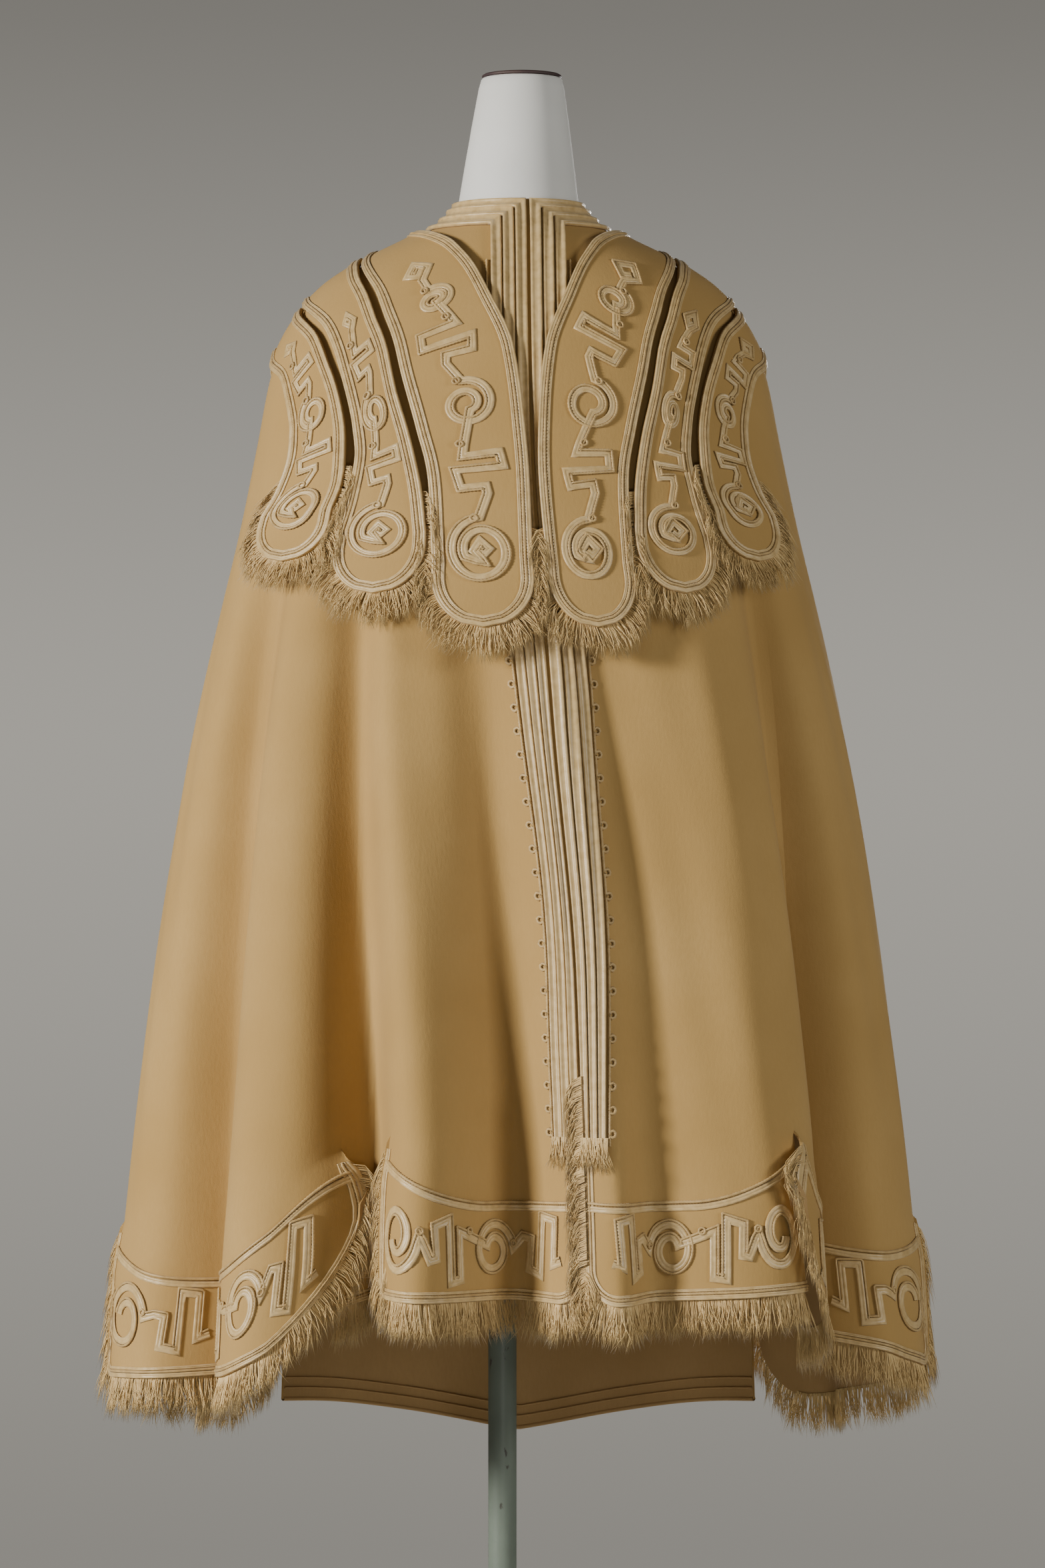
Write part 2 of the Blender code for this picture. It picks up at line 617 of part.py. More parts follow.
def hem_edge(columns, outer_edges):
    """The lower edge of a stretch, from just inside the steep side of a rounded corner.

    Returns the points, the ways out of the cloth and out of its edge, and angle, height, lift.
    """
    turn = 1 if columns[-1] > columns[0] else -1
    angles, heights, lifts = stretch_grid(columns)
    angles = part_edges(angles, heights, columns, outer_edges)
    grid = cloth_point(angles, heights, lifts)
    across = mean_steps(grid, 1)
    faced = turn * unit(np.cross(mean_steps(grid, 0), across))
    faced /= np.maximum(MITRE_LIMIT, np.linalg.norm(across, axis=-1, keepdims=True))
    end = -CORNER_COLUMNS if columns[-1] in BACK_SLITS else None
    kept = slice(CORNER_COLUMNS if columns[0] in SLITS else 0, end)
    points, faced = grid[-1, kept], faced[-1, kept]
    inward = unit(grid[-2, kept] - points)
    side = turn * unit(np.cross(mean_steps(points), faced))
    away = inward / np.minimum(-CORNER_LIMIT, np.sum(inward * side, axis=1))[:, None]
    path = np.stack([turn * angles[-1, kept], heights[-1, kept], lifts[-1, kept]], 1)
    return points, faced, away, path, turn


def drawn_back(points):
    """The same row of points with both its ends drawn back a little."""
    points = points.copy()
    for end, before in ((0, 1), (-1, -2)):
        points[end] += unit(points[before] - points[end]) * TRIM_BACK
    return points


def hem_trim(number, word, columns, outer_edges):
    """Fringe behind the lower edge of a stretch, and flat braid over it."""
    points, faced, away, path, turn = hem_edge(columns, outer_edges)

    def beside(edge, out):
        spare = UNDER_LIFT if out < 0 else OVER_LIFT
        return points + away * edge + faced * (out + path[:, 2] * spare)[:, None]

    top = -CLOTH - FRINGE_UNDER
    low = top - FRINGE_THICK
    inside, outside = FRINGE_ROOT
    scale = metres_per_degree(turn * path[:, 0], path[:, 1])
    reach = tip_reach(path, scale, FRONT_SIDEWAYS if columns[0] == 0 else HEM_SIDEWAYS)
    tips = [cloth_point(turn * (path[:, 0] + reach[:, 0]), path[:, 1] + reach[:, 1],
                        path[:, 2] + top + rise) for rise in TIP_RISE]
    corners = [beside(inside, low), beside(inside, top), beside(outside, top),
               beside(outside, low), *tips]
    edge_fringe(f"hem_fringe_{word}_{number}", [drawn_back(c) for c in corners])
    insets = (-BRAID_INSET, -BRAID_INSET - HEM_BRAID_WIDTH)
    outer, inner = ([drawn_back(beside(inset, out)) for inset in insets]
                    for out in (FRINGE_UNDER + HEM_BRAID_THICK, FRINGE_UNDER))
    wall_between(f"hem_braid_{word}_{number}", np.array(outer), np.array(inner), "satin")


def strap_fringe(name, bottom, rows, side, behind, start):
    """Fringe round the rounded end of a strap."""
    lines = strap_lines(bottom, rows)
    drop = BACK_STRAP_DROP if behind else 0.0
    path = [(ln[0], ln[1] - drop, ln[4]) for ln in lines[-start[0]:]]
    path += [(ln[2], ln[3] - drop, ln[4]) for ln in lines[:-start[1] - 1:-1]]
    path = np.array(path)
    scale = metres_per_degree(around(path[:, 0], side, behind), path[:, 1])
    normal = edge_normals(path, scale)
    reach = tip_reach(path, scale, STRAP_SIDEWAYS)

    def place(edge, hang, out):
        along = path[:, 0] + normal[:, 0] * edge / scale + reach[:, 0] * hang
        z = path[:, 1] + normal[:, 1] * edge + reach[:, 1] * hang
        return cloth_point(around(along, side, behind), z, path[:, 2] + out, folded=False)

    top = -STRAP_FRINGE_UNDER
    low = top - FRINGE_THICK
    inside, outside = FRINGE_ROOT
    corners = [place(inside, 0, low), place(inside, 0, top), place(outside, 0, top),
               place(outside, 0, low), *(place(outside, 1, top + rise) for rise in TIP_RISE)]
    edge_fringe(name, corners)


def ring_loft(name, rings, kind):
    """A closed solid through rings of points, with flat ends."""
    rings = np.array(rings)
    rows, count = rings.shape[:2]
    faces = []
    for r in range(rows - 1):
        for c in range(count):
            d = (c + 1) % count
            faces.append((r * count + c, r * count + d, (r + 1) * count + d, (r + 1) * count + c))
    faces.append(tuple(range(count)))
    faces.append(tuple((rows - 1) * count + c for c in reversed(range(count))))
    mesh = bpy.data.meshes.new(name)
    mesh.from_pydata([tuple(p) for p in rings.reshape(-1, 3)], [], faces)
    outward(mesh)
    mesh.shade_smooth()
    return new_object(name, mesh, kind)


def torso():
    """A smooth limbless figure: its shoulders carry the cape, just inside the cloth."""
    angles = np.linspace(0, 360, TORSO_SIDES, endpoint=False)
    rings = [cloth_point(angles, z, -CLOTH - SHOULDER_CLEAR, folded=False) for z in SHOULDER_RINGS]
    rings[0][:, 2] = NECK_SEAT_Z - GAP
    phi = np.radians(angles)
    for z, half_width, front, back in TORSO_SECTIONS:
        depth = np.where(np.cos(phi) > 0, front, back)
        rings.append(np.stack([GARMENT_X + half_width * np.sin(phi), TORSO_Y - depth * np.cos(phi),
                               np.full(len(phi), z)], -1))
    return ring_loft("form_torso", rings, "form")


def neck():
    """A plain white cone in place of a neck, a little narrower at the top."""
    phi = np.linspace(0, 2 * math.pi, TORSO_SIDES, endpoint=False)
    rings = []
    for z, radius, shift in NECK_SECTIONS:
        rings.append(np.stack([GARMENT_X + shift + radius * np.sin(phi),
                               NECK_Y - radius * np.cos(phi), np.full(len(phi), z)], -1))
    return ring_loft("form_neck", rings, "form")


def turned_solid(name, profile, kind, centre, sides):
    """A solid turned round Z: its profile runs from the axis on top to the axis below."""
    mesh = bpy.data.meshes.new(name)
    mesh.from_pydata([(radius, 0, z) for radius, z in profile],
                     [(i, i + 1) for i in range(len(profile) - 1)], [])
    obj = new_object(name, mesh, kind)
    obj.location = centre
    screw = obj.modifiers.new("turn", "SCREW")
    screw.steps = sides
    screw.render_steps = sides
    screw.use_merge_vertices = True
    screw.merge_threshold = MERGE_WITHIN
    return obj


def pole(bottom, top):
    """The round pole that carries the torso."""
    mesh = bpy.data.meshes.new("form_pole")
    shape = bmesh.new()
    bmesh.ops.create_cone(shape, cap_ends=True, segments=POLE_SIDES, radius1=POLE_RADIUS,
                          radius2=POLE_RADIUS, depth=top - bottom)
    shape.to_mesh(mesh)
    shape.free()
    obj = new_object("form_pole", mesh, "paint")
    obj.location = (0, 0, (top + bottom) / 2)
    return obj


def stand():
    """The painted pole on its round foot, and the dark cap on the neck."""
    turned_solid("form_foot", FOOT_PROFILE, "paint", (0, 0, 0), FOOT_SIDES)
    pole(FOOT_PROFILE[0][1] + GAP, TORSO_BOTTOM_Z - GAP)
    cap_place = (GARMENT_X + NECK_TOP_SHIFT, NECK_Y, NECK_TOP_Z + GAP)
    turned_solid("form_neck_cap", CAP_PROFILE, "cap", cap_place, CAP_SIDES)


def main():
    for obj in list(bpy.data.objects):
        bpy.data.objects.remove(obj)
    group = bpy.data.collections.new("fringed_cape")
    bpy.context.scene.collection.children.link(group)

    stand()
    torso()
    neck()
    for name, stretches in PANELS.items():
        make_panel(name, stretches)
    for side, word in ((-1, "left"), (1, "right")):
        front_band(f"front_band_{word}", side)
        neck_band(f"neck_band_{word}", side)
        for place, bottom, rows in STRAPS:
            make_strap(f"strap_{place}_{word}", bottom, rows, side)
            for behind, end in ((False, "front"), (True, "back")):
                strap_fringe(f"strap_fringe_{place}_{end}_{word}", bottom, rows, side, behind,
                             FRINGE_STARTS[place])
    for name, stretches in PANELS.items():
        for i, columns in enumerate(stretches):
            if name != "cape_back":
                hem_trim(i + 1, name.removeprefix("cape_"), columns,
                         (i == 0, i == len(stretches) - 1))


main()
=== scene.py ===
"""Looks of a fringed wool cape on a dress form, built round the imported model.

Metres, +Z up, the front towards -Y. Angles round the body are in degrees: 0 at the front opening,
minus to the viewer's left, 180 behind. The cloth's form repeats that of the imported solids.
"""

import math

import bmesh
import bpy
import numpy as np
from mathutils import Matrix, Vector


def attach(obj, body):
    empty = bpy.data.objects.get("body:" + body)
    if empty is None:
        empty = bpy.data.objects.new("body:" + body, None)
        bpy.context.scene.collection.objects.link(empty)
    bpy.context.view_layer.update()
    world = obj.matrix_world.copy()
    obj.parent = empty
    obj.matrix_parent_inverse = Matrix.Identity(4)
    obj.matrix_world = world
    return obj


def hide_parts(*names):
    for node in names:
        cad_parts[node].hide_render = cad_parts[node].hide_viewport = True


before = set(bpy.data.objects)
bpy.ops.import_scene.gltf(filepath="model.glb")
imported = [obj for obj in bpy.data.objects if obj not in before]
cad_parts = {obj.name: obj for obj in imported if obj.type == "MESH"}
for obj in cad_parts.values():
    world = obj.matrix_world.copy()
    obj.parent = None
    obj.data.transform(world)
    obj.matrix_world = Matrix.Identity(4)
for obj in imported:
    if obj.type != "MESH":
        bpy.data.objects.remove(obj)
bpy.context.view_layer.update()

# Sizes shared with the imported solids
CLOTH = 0.002
GARMENT_X = 0.0135
NECK_EDGE_Z = 1.400
SLIT_LENGTH = 0.130
SLIT_HALF_GAP = 0.0006
BAND_WIDTH = 0.031
BAND_RIBBONS = 3
BAND_CLEAR = 0.0009
BAND_FROM_OPENING = 0.0014
BAND_BELOW_SLITS = 0.006
NECK_SLOPE = 0.72
NECK_TOP_Z = 1.507
NECK_SEAT_Z = 1.3865
POLE_RADIUS = 0.0119
TORSO_BOTTOM_Z = 0.820
FOOT_TOP_Z = 0.054
LOBE_LIFT = 0.003
BACK_STRAP_DROP = 0.004
FOLD_BOTTOM_Z = 0.42
FOLD_GROWTH = 0.72

# Outline of the smooth body under the folds
BODY_SECTIONS = {
    "z": (0.300, 0.347, 0.500, 0.586, 0.675, 0.787, 0.927, 1.040, 1.130, 1.200, 1.255, 1.291, 1.325,
          1.350, 1.368, 1.382, 1.392, 1.400, 1.410),
    "half_width": (0.340, 0.338, 0.330, 0.322, 0.312, 0.298, 0.277, 0.254, 0.233, 0.219, 0.208,
                   0.193, 0.165, 0.128, 0.092, 0.068, 0.058, 0.0535, 0.052),
    "front_depth": (0.240, 0.236, 0.228, 0.220, 0.212, 0.202, 0.188, 0.174, 0.158, 0.142, 0.126,
                    0.113, 0.098, 0.085, 0.075, 0.065, 0.058, 0.0535, 0.052),
    "back_depth": (0.284, 0.280, 0.264, 0.252, 0.238, 0.218, 0.192, 0.168, 0.146, 0.132, 0.121,
                   0.112, 0.099, 0.086, 0.075, 0.065, 0.058, 0.0535, 0.052),
    "centre_y": (0.0, 0.0, 0.0, 0.0, 0.0, 0.0, 0.0, 0.0, 0.0, 0.001, 0.002, 0.003, 0.005,
                 0.007, 0.008, 0.009, 0.010, 0.010, 0.010),
}
OPENING = {
    "z": (0.30, 0.50, 0.75, 0.97, 1.20, 1.30, 1.382, 1.41),
    "x": (0.058, 0.056, 0.047, 0.027, 0.011, 0.009, 0.008, 0.007),
}
HEM = {
    "angle": (-180, -152, -135, -110, -83, -60, -47, -40, -33, -25, 0,
              25, 40, 45, 60, 83, 110, 135, 152, 180),
    "z": (0.347, 0.366, 0.375, 0.395, 0.418, 0.426, 0.434, 0.452, 0.488, 0.500, 0.495,
          0.500, 0.503, 0.478, 0.455, 0.425, 0.395, 0.375, 0.366, 0.347),
}

# Folds: angle near the chest, angle at the hem, half width in degrees, depth at the hem, top
FOLDS = (
    (-12.0, -8.5, 6.2, -0.062, 1.13),
    (-29.0, -20.5, 4.5, 0.026, 1.12),
    (-36.0, -29.5, 4.8, -0.066, 1.18),
    (-46.0, -42.0, 7.5, 0.022, 1.14),
    (-57.0, -57.5, 6.0, -0.066, 1.16),
    (-80.0, -83.0, 11.0, 0.006, 1.05),
    (5.0, 6.0, 4.0, 0.014, 1.00),
    (11.0, 12.5, 6.0, -0.022, 1.12),
    (30.0, 34.0, 9.0, 0.024, 1.14),
    (52.0, 56.5, 6.0, -0.066, 1.18),
    (80.0, 83.0, 11.0, 0.006, 1.05),
    (-110.0, -112.0, 9.0, -0.038, 1.08),
    (110.0, 112.0, 9.0, -0.036, 1.08),
    (-150.0, -153.0, 8.0, 0.022, 1.12),
    (150.0, 153.0, 8.0, 0.022, 1.12),
    (180.0, 180.0, 14.0, -0.062, 1.16),
)
ROWS = (0.0, 0.010, 0.022, 0.040, 0.065, 0.10, 0.15, 0.22, 0.31, 0.43, 0.56, 0.69, 0.82)
LOWER_ROWS = (0.0, 0.13, 0.36, 0.68, 1.0)
LIFT_SHARES = (0.0, 0.50, 1.0, 1.0, 1.0)
BULGE_SHARES = (0.0, 0.0, 0.55, 1.0, 0.55)
UPPER_ROWS_SHARE = 0.985

# Cloth pieces: the angles where each stretch between slits starts and ends
PANELS = {
    "front_left": ((0, -25), (-25, -33), (-33, -57)),
    "side_left": ((-57, -83), (-83, -142)),
    "front_right": ((0, 40), (40, 57)),
    "side_right": ((57, 83), (83, 142)),
    "back": ((142, 218),),
}
SLITS = (-25, -33, -83, 40, 83)
BACK_SLITS = (-142, 142)

# Rounded corner at each slit: radius, lift over its neighbour, bulge beyond the slit, reach
CORNERS = {
    0: (0.030, 0.0, 0.0, 0.030),
    -25: (0.034, 0.0, 0.0, 0.040),
    -33: (0.085, 0.0120, 0.020, 0.070),
    -83: (0.085, 0.0, 0.004, 0.070),
    40: (0.075, 0.0120, 0.018, 0.070),
    83: (0.085, 0.0, 0.004, 0.070),
    -142: (0.070, 0.0100, 0.006, 0.060),
    142: (0.070, 0.0100, 0.006, 0.060),
}
NO_CORNER = (0.0001, 0.0, 0.0, 1.0)

# Slits where the piece nearer the opening laps over its neighbour, with that piece's corner
LAPPING_ENDS = {
    -25: (0.016, 0.0050, 0.007, 0.050),
    -83: (0.016, 0.0050, 0.009, 0.050),
    83: (0.016, 0.0050, 0.009, 0.050),
}

# Straps from the shoulder down the front: inner angle and height, outer angle and height, lift
STRAPS = {
    "inner": (1.037, (
        (90.0, 1.3725, 90.0, 1.3525, 0.0024),
        (60.0, 1.3700, 60.0, 1.3380, 0.0030),
        (33.0, 1.3610, 43.5, 1.3180, 0.0036),
        (17.0, 1.3400, 36.0, 1.2960, 0.0042),
        (9.5, 1.3120, 31.0, 1.2720, 0.0045),
        (3.6, 1.2700, 27.4, 1.2400, 0.0050),
        (1.6, 1.2150, 23.6, 1.2000, 0.0055),
        (0.9, 1.1600, 20.6, 1.1600, 0.0065),
        (1.2, 1.0900, 19.0, 1.0900, 0.0105),
    )),
    "middle": (1.065, (
        (90.0, 1.3500, 90.0, 1.3130, 0.0032),
        (65.0, 1.3400, 70.0, 1.3040, 0.0036),
        (45.5, 1.3160, 55.5, 1.2900, 0.0040),
        (37.6, 1.2930, 47.5, 1.2680, 0.0044),
        (32.6, 1.2700, 43.2, 1.2450, 0.0048),
        (28.4, 1.2300, 38.6, 1.2060, 0.0055),
        (24.4, 1.1900, 36.8, 1.1750, 0.0062),
        (21.6, 1.1500, 37.4, 1.1450, 0.0078),
        (20.2, 1.1150, 38.8, 1.1120, 0.0095),
    )),
    "outer": (1.092, (
        (90.0, 1.3105, 90.0, 1.2700, 0.0016),
        (72.0, 1.3005, 78.0, 1.2580, 0.0026),
        (57.0, 1.2850, 67.0, 1.2480, 0.0042),
        (48.6, 1.2600, 61.0, 1.2270, 0.0048),
        (43.0, 1.2300, 57.0, 1.2000, 0.0055),
        (39.8, 1.1950, 56.0, 1.1780, 0.0064),
        (38.8, 1.1600, 57.5, 1.1520, 0.0080),
        (40.2, 1.1340, 60.5, 1.1300, 0.0105),
    )),
}
LOBE_STARTS = 0.2


def smooth_curve(xs, ys, x):
    """A monotone cubic through the points, which doesn't overshoot."""
    xs = np.asarray(xs, float)
    ys = np.asarray(ys, float)
    slope = np.diff(ys) / np.diff(xs)
    tangent = np.zeros(len(xs))
    same_way = slope[:-1] * slope[1:] > 0
    tangent[1:-1] = np.where(
        same_way, 2 * slope[:-1] * slope[1:] / np.where(same_way, slope[:-1] + slope[1:], 1), 0)
    tangent[0], tangent[-1] = slope[0], slope[-1]
    x = np.clip(x, xs[0], xs[-1])
    i = np.clip(np.searchsorted(xs, x) - 1, 0, len(slope) - 1)
    step = xs[i + 1] - xs[i]
    t = (x - xs[i]) / step
    return (ys[i] * (2 * t**3 - 3 * t**2 + 1) + tangent[i] * step * (t**3 - 2 * t**2 + t)
            + ys[i + 1] * (3 * t**2 - 2 * t**3) + tangent[i + 1] * step * (t**3 - t**2))


def section(z, column):
    return smooth_curve(BODY_SECTIONS["z"], BODY_SECTIONS[column], z)


def turned(angle, z):
    """The true angle on the body's section: near the front, angles follow the opening."""
    opening = np.degrees(np.arcsin(smooth_curve(OPENING["z"], OPENING["x"], z)
                                   / section(z, "half_width")))
    wrapped = (angle + 180) % 360 - 180
    return angle + opening * np.clip(1 - np.abs(wrapped) / 60, 0, 1)


def fold_depth(angle, z):
    total = np.zeros(np.broadcast(angle, z).shape)
    for chest, hem, half_width, depth, top in FOLDS:
        share = np.clip((top - z) / (top - FOLD_BOTTOM_Z), 0, 1.15)
        middle = chest + (hem - chest) * np.clip(share * 1.4, 0, 1)
        away = (angle - middle + 180) % 360 - 180
        total = total + depth * share**FOLD_GROWTH * np.exp(-(away / half_width) ** 2)
    return total


def soft_creases(angle, z):
    """Slight waves that keep the hanging cloth from looking machined."""
    turn = np.radians(angle)
    low = np.clip((1.30 - z) / 0.4, 0, 1)
    return low * (0.0013 * np.sin(9 * turn + 2.1 * z) * np.sin(7.3 * z + 2 * turn)
                  + 0.0008 * np.sin(21 * turn - 6.0 * z + 1.3)
                  + 0.0005 * np.sin(37 * turn + 19.0 * z))


def body_point(angle, z, folded=True):
    angle = np.asarray(angle, float)
    z = np.asarray(z, float)
    phi = np.radians(turned(angle, z))
    half_width = section(z, "half_width")
    depth = np.where(np.cos(phi) > 0, section(z, "front_depth"), section(z, "back_depth"))
    normal = np.stack([np.sin(phi) / half_width, -np.cos(phi) / depth], -1)
    normal /= np.linalg.norm(normal, axis=-1, keepdims=True)
    out = fold_depth(angle, z) + soft_creases(angle, z) if folded else np.zeros(phi.shape)
    return np.stack([
        GARMENT_X + half_width * np.sin(phi) + out * normal[..., 0],
        section(z, "centre_y") - depth * np.cos(phi) + out * normal[..., 1],
        z + 0 * phi,
    ], -1)


def unit(vectors):
    return vectors / np.maximum(np.linalg.norm(vectors, axis=-1, keepdims=True), 1e-9)


def cloth_point(angle, z, out=0.0, folded=True):
    """A point on the cloth's outer face, or that far out from it along its normal."""
    turn, drop = 0.4, 0.0015
    angle, z, out = np.broadcast_arrays(np.asarray(angle, float), np.asarray(z, float),
                                        np.asarray(out, float))
    across = body_point(angle + turn, z, folded) - body_point(angle - turn, z, folded)
    down = body_point(angle, z - drop, folded) - body_point(angle, z + drop, folded)
    return body_point(angle, z, folded) + unit(np.cross(down, across)) * out[..., None]


def metres_per_degree(angle, z):
    turn = 0.3
    step = body_point(angle + turn, z) - body_point(angle - turn, z)
    return np.linalg.norm(step, axis=-1) / (2 * turn)


def hem_height(angle):
    wrapped = (np.asarray(angle, float) + 180) % 360 - 180
    return smooth_curve(HEM["angle"], HEM["z"], wrapped)


def corner_rise(distance, radius):
    """How much higher a rounded corner is than the hem, this far from its edge."""
    short = np.maximum(0.0, radius - distance)
    return radius - np.sqrt(np.maximum(0.0, radius**2 - short**2))


class Stretch:
    """A stretch of cloth between two slits, as a flat chart: metres along the hem and above it."""

    def __init__(self, start, end, has_corners=True):
        self.start, self.end = start, end
        self.turn = 1 if end > start else -1
        self.first = CORNERS.get(start, NO_CORNER) if has_corners else NO_CORNER
        self.last = LAPPING_ENDS.get(end, NO_CORNER)
        if has_corners and end in BACK_SLITS:
            self.last = CORNERS[end]
        self.laps = start in LAPPING_ENDS or (start == 0 and end < 0)
        self.angles = np.linspace(start, end, 200)
        points = body_point(self.angles, hem_height(self.angles))
        steps = np.linalg.norm(np.diff(points, axis=0), axis=1)
        self.reach = np.concatenate([[0], np.cumsum(steps)])
        self.length = float(self.reach[-1])

    def angle_at(self, along):
        return np.interp(along, self.reach, self.angles)

    def bottom(self, along):
        """How far above the plain hem the cloth's edge is, because of its rounded corners."""
        along = np.clip(along, 0, self.length)
        return np.maximum(corner_rise(along, self.first[0]),
                          corner_rise(self.length - along, self.last[0]))

    def spot(self, along, up):
        """Angle, height and lift of the cloth at a place in the chart."""
        inside = np.clip(along, 0, self.length)
        angle = self.angle_at(inside)
        hem = hem_height(angle)
        z = hem + up
        lift, shift = 0.0, 0.0
        for distance, corner, way in ((inside, self.first, -self.turn),
                                      (self.length - inside, self.last, self.turn)):
            fade = np.maximum(0.0, 1 - distance / corner[3])**1.5
            lift = lift + corner[1] * fade
            shift = shift + way * corner[2] * fade
        share = np.clip((SLIT_LENGTH - up) / (SLIT_LENGTH - self.bottom(along)), 0, 1)
        lift = lift * smooth_curve(LOWER_ROWS, LIFT_SHARES, share)
        shift = (shift * smooth_curve(LOWER_ROWS, BULGE_SHARES, share)
                 + self.turn * (along - inside))
        return angle + shift / metres_per_degree(angle, z), z, lift

    def place(self, along, up, out=0.0):
        angle, z, lift = self.spot(np.asarray(along, float), np.asarray(up, float))
        return cloth_point(angle, z, lift + out)

    def grid(self):
        """Outer face from neck to hem, with close columns at the rounded corners."""
        quarter = 1 - np.cos(np.linspace(0, math.pi / 2, 14))
        start = self.first[0] * quarter if self.first[0] > 0.001 else np.array([0.0])
        end = self.length - self.last[0] * quarter if self.last[0] > 0.001 else [self.length]
        end = np.sort(end)
        count = max(2, round((end[0] - start[-1]) / 0.0075))
        along = np.concatenate([start[:-1], np.linspace(start[-1], end[0], count), end[1:]])
        angle = self.angle_at(along)
        slit_z = hem_height(angle) + SLIT_LENGTH
        shares = np.interp(np.linspace(0, len(ROWS) - 1, 84), range(len(ROWS)), ROWS) / ROWS[-1]
        upper_length = (NECK_EDGE_Z - slit_z) * UPPER_ROWS_SHARE
        upper_z = NECK_EDGE_Z - shares[:, None] * upper_length
        upper = cloth_point(angle + 0 * upper_z, upper_z)
        low = np.linspace(0, 1, 22)[:, None]
        up = SLIT_LENGTH - low * (SLIT_LENGTH - self.bottom(along))
        spot_angle, z, lift = self.spot(along + 0 * up, up)
        parted = np.where(low > 0, SLIT_HALF_GAP, 0.0) / metres_per_degree(angle, z)
        if self.start in SLITS or self.start in BACK_SLITS:
            spot_angle[:, 0] += self.turn * parted[:, 0]
        if self.end in SLITS or self.end in BACK_SLITS:
            spot_angle[:, -1] -= self.turn * parted[:, -1]
        return np.concatenate([upper, cloth_point(spot_angle, z, lift)])


class Strap:
    """Half a strap as a flat chart: metres across from its middle and metres up from its tip."""

    def __init__(self, name, side, behind):
        self.bottom, rows = STRAPS[name]
        self.side, self.behind = side, behind
        second = rows[1]
        mirrored = (180 - second[0], second[1], 180 - second[2], second[3], second[4])
        self.table = np.array([mirrored, *rows])
        self.knots = np.arange(len(rows) + 1) - 1
        self.last = len(rows) - 1
        self.stations = np.linspace(0, self.last + 2.0, 400)
        a, za, b, zb, lift = self.line(self.stations)
        centre = cloth_point((a + b) / 2, (za + zb) / 2, lift, folded=False)
        steps = np.linalg.norm(np.diff(centre, axis=0), axis=1)
        length = np.concatenate([[0], np.cumsum(steps)])
        tip = np.interp(self.last + 1, self.stations, length)
        self.up = tip - length
        edges = cloth_point(a, za, 0, folded=False) - cloth_point(b, zb, 0, folded=False)
        self.half = np.linalg.norm(edges, axis=-1) / 2
        self.top = float(self.up[0])

    def line(self, v):
        """The strap's cross line there, with no narrowing for its rounded end."""
        k = np.minimum(v, self.last)
        a, za, b, zb, lift = (smooth_curve(self.knots, self.table[:, c], k) for c in range(5))
        share = np.maximum(v - self.last, 0)
        return (a, za + (self.bottom - za) * share, b, zb + (self.bottom - zb) * share,
                lift + LOBE_LIFT * np.minimum(share, 1))

    def station(self, up):
        return np.interp(-np.asarray(up, float), -self.up, self.stations)

    def half_width(self, up):
        """Half the strap's width there, with its rounded end."""
        v = self.station(up)
        share = np.clip((v - self.last - LOBE_STARTS) / (1 - LOBE_STARTS), 0, 1)
        return np.interp(v, self.stations, self.half) * np.sqrt(1 - share**2)

    def place(self, across, up, out=0.0):
        v = self.station(up)
        a, za, b, zb, lift = self.line(v)
        share = (across / np.interp(v, self.stations, self.half) + 1) / 2
        angle, z = a + (b - a) * share, za + (zb - za) * share
        if self.behind:
            angle = 180 - angle
            z = z - BACK_STRAP_DROP * np.clip(v, 0, 1)
        return cloth_point(self.side * angle, z, lift + CLOTH + out, folded=False)

    def outline(self, top):
        """The strap's edge from that height on its neck side, round its tip and up again."""
        end = np.interp(self.last + LOBE_STARTS, self.stations, self.up)
        straight = np.linspace(top, end, max(2, round((top - end) / 0.005)))[:-1]
        round_part = end * np.cos(np.linspace(0, math.pi / 2, 20))
        up = np.concatenate([straight, round_part])
        half = self.half_width(up)
        half[-1] = 0
        return np.concatenate([np.stack([-half, up], 1), np.stack([half, up], 1)[-2::-1]])

    def grid(self):
        end = np.interp(self.last + LOBE_STARTS, self.stations, self.up)
        straight = np.linspace(self.top, end, round((self.top - end) / 0.006))[:-1]
        up = np.concatenate([straight, end * np.cos(np.linspace(0, math.pi / 2, 20))])
        half = np.maximum(self.half_width(up), 0.0008)[:, None]
        share = np.sin(np.linspace(-math.pi / 2, math.pi / 2, 19))
        return self.place(half * share, up[:, None] + 0 * share)


def grid_quads(rows, columns, start=0, wrap=False):
    width = columns if wrap else columns - 1
    r, c = np.meshgrid(np.arange(rows - 1), np.arange(width), indexing="ij")
    right = (c + 1) % columns
    quads = [r * columns + c, r * columns + right, (r + 1) * columns + right, (r + 1) * columns + c]
    return start + np.stack(quads, -1).reshape(-1, 4)


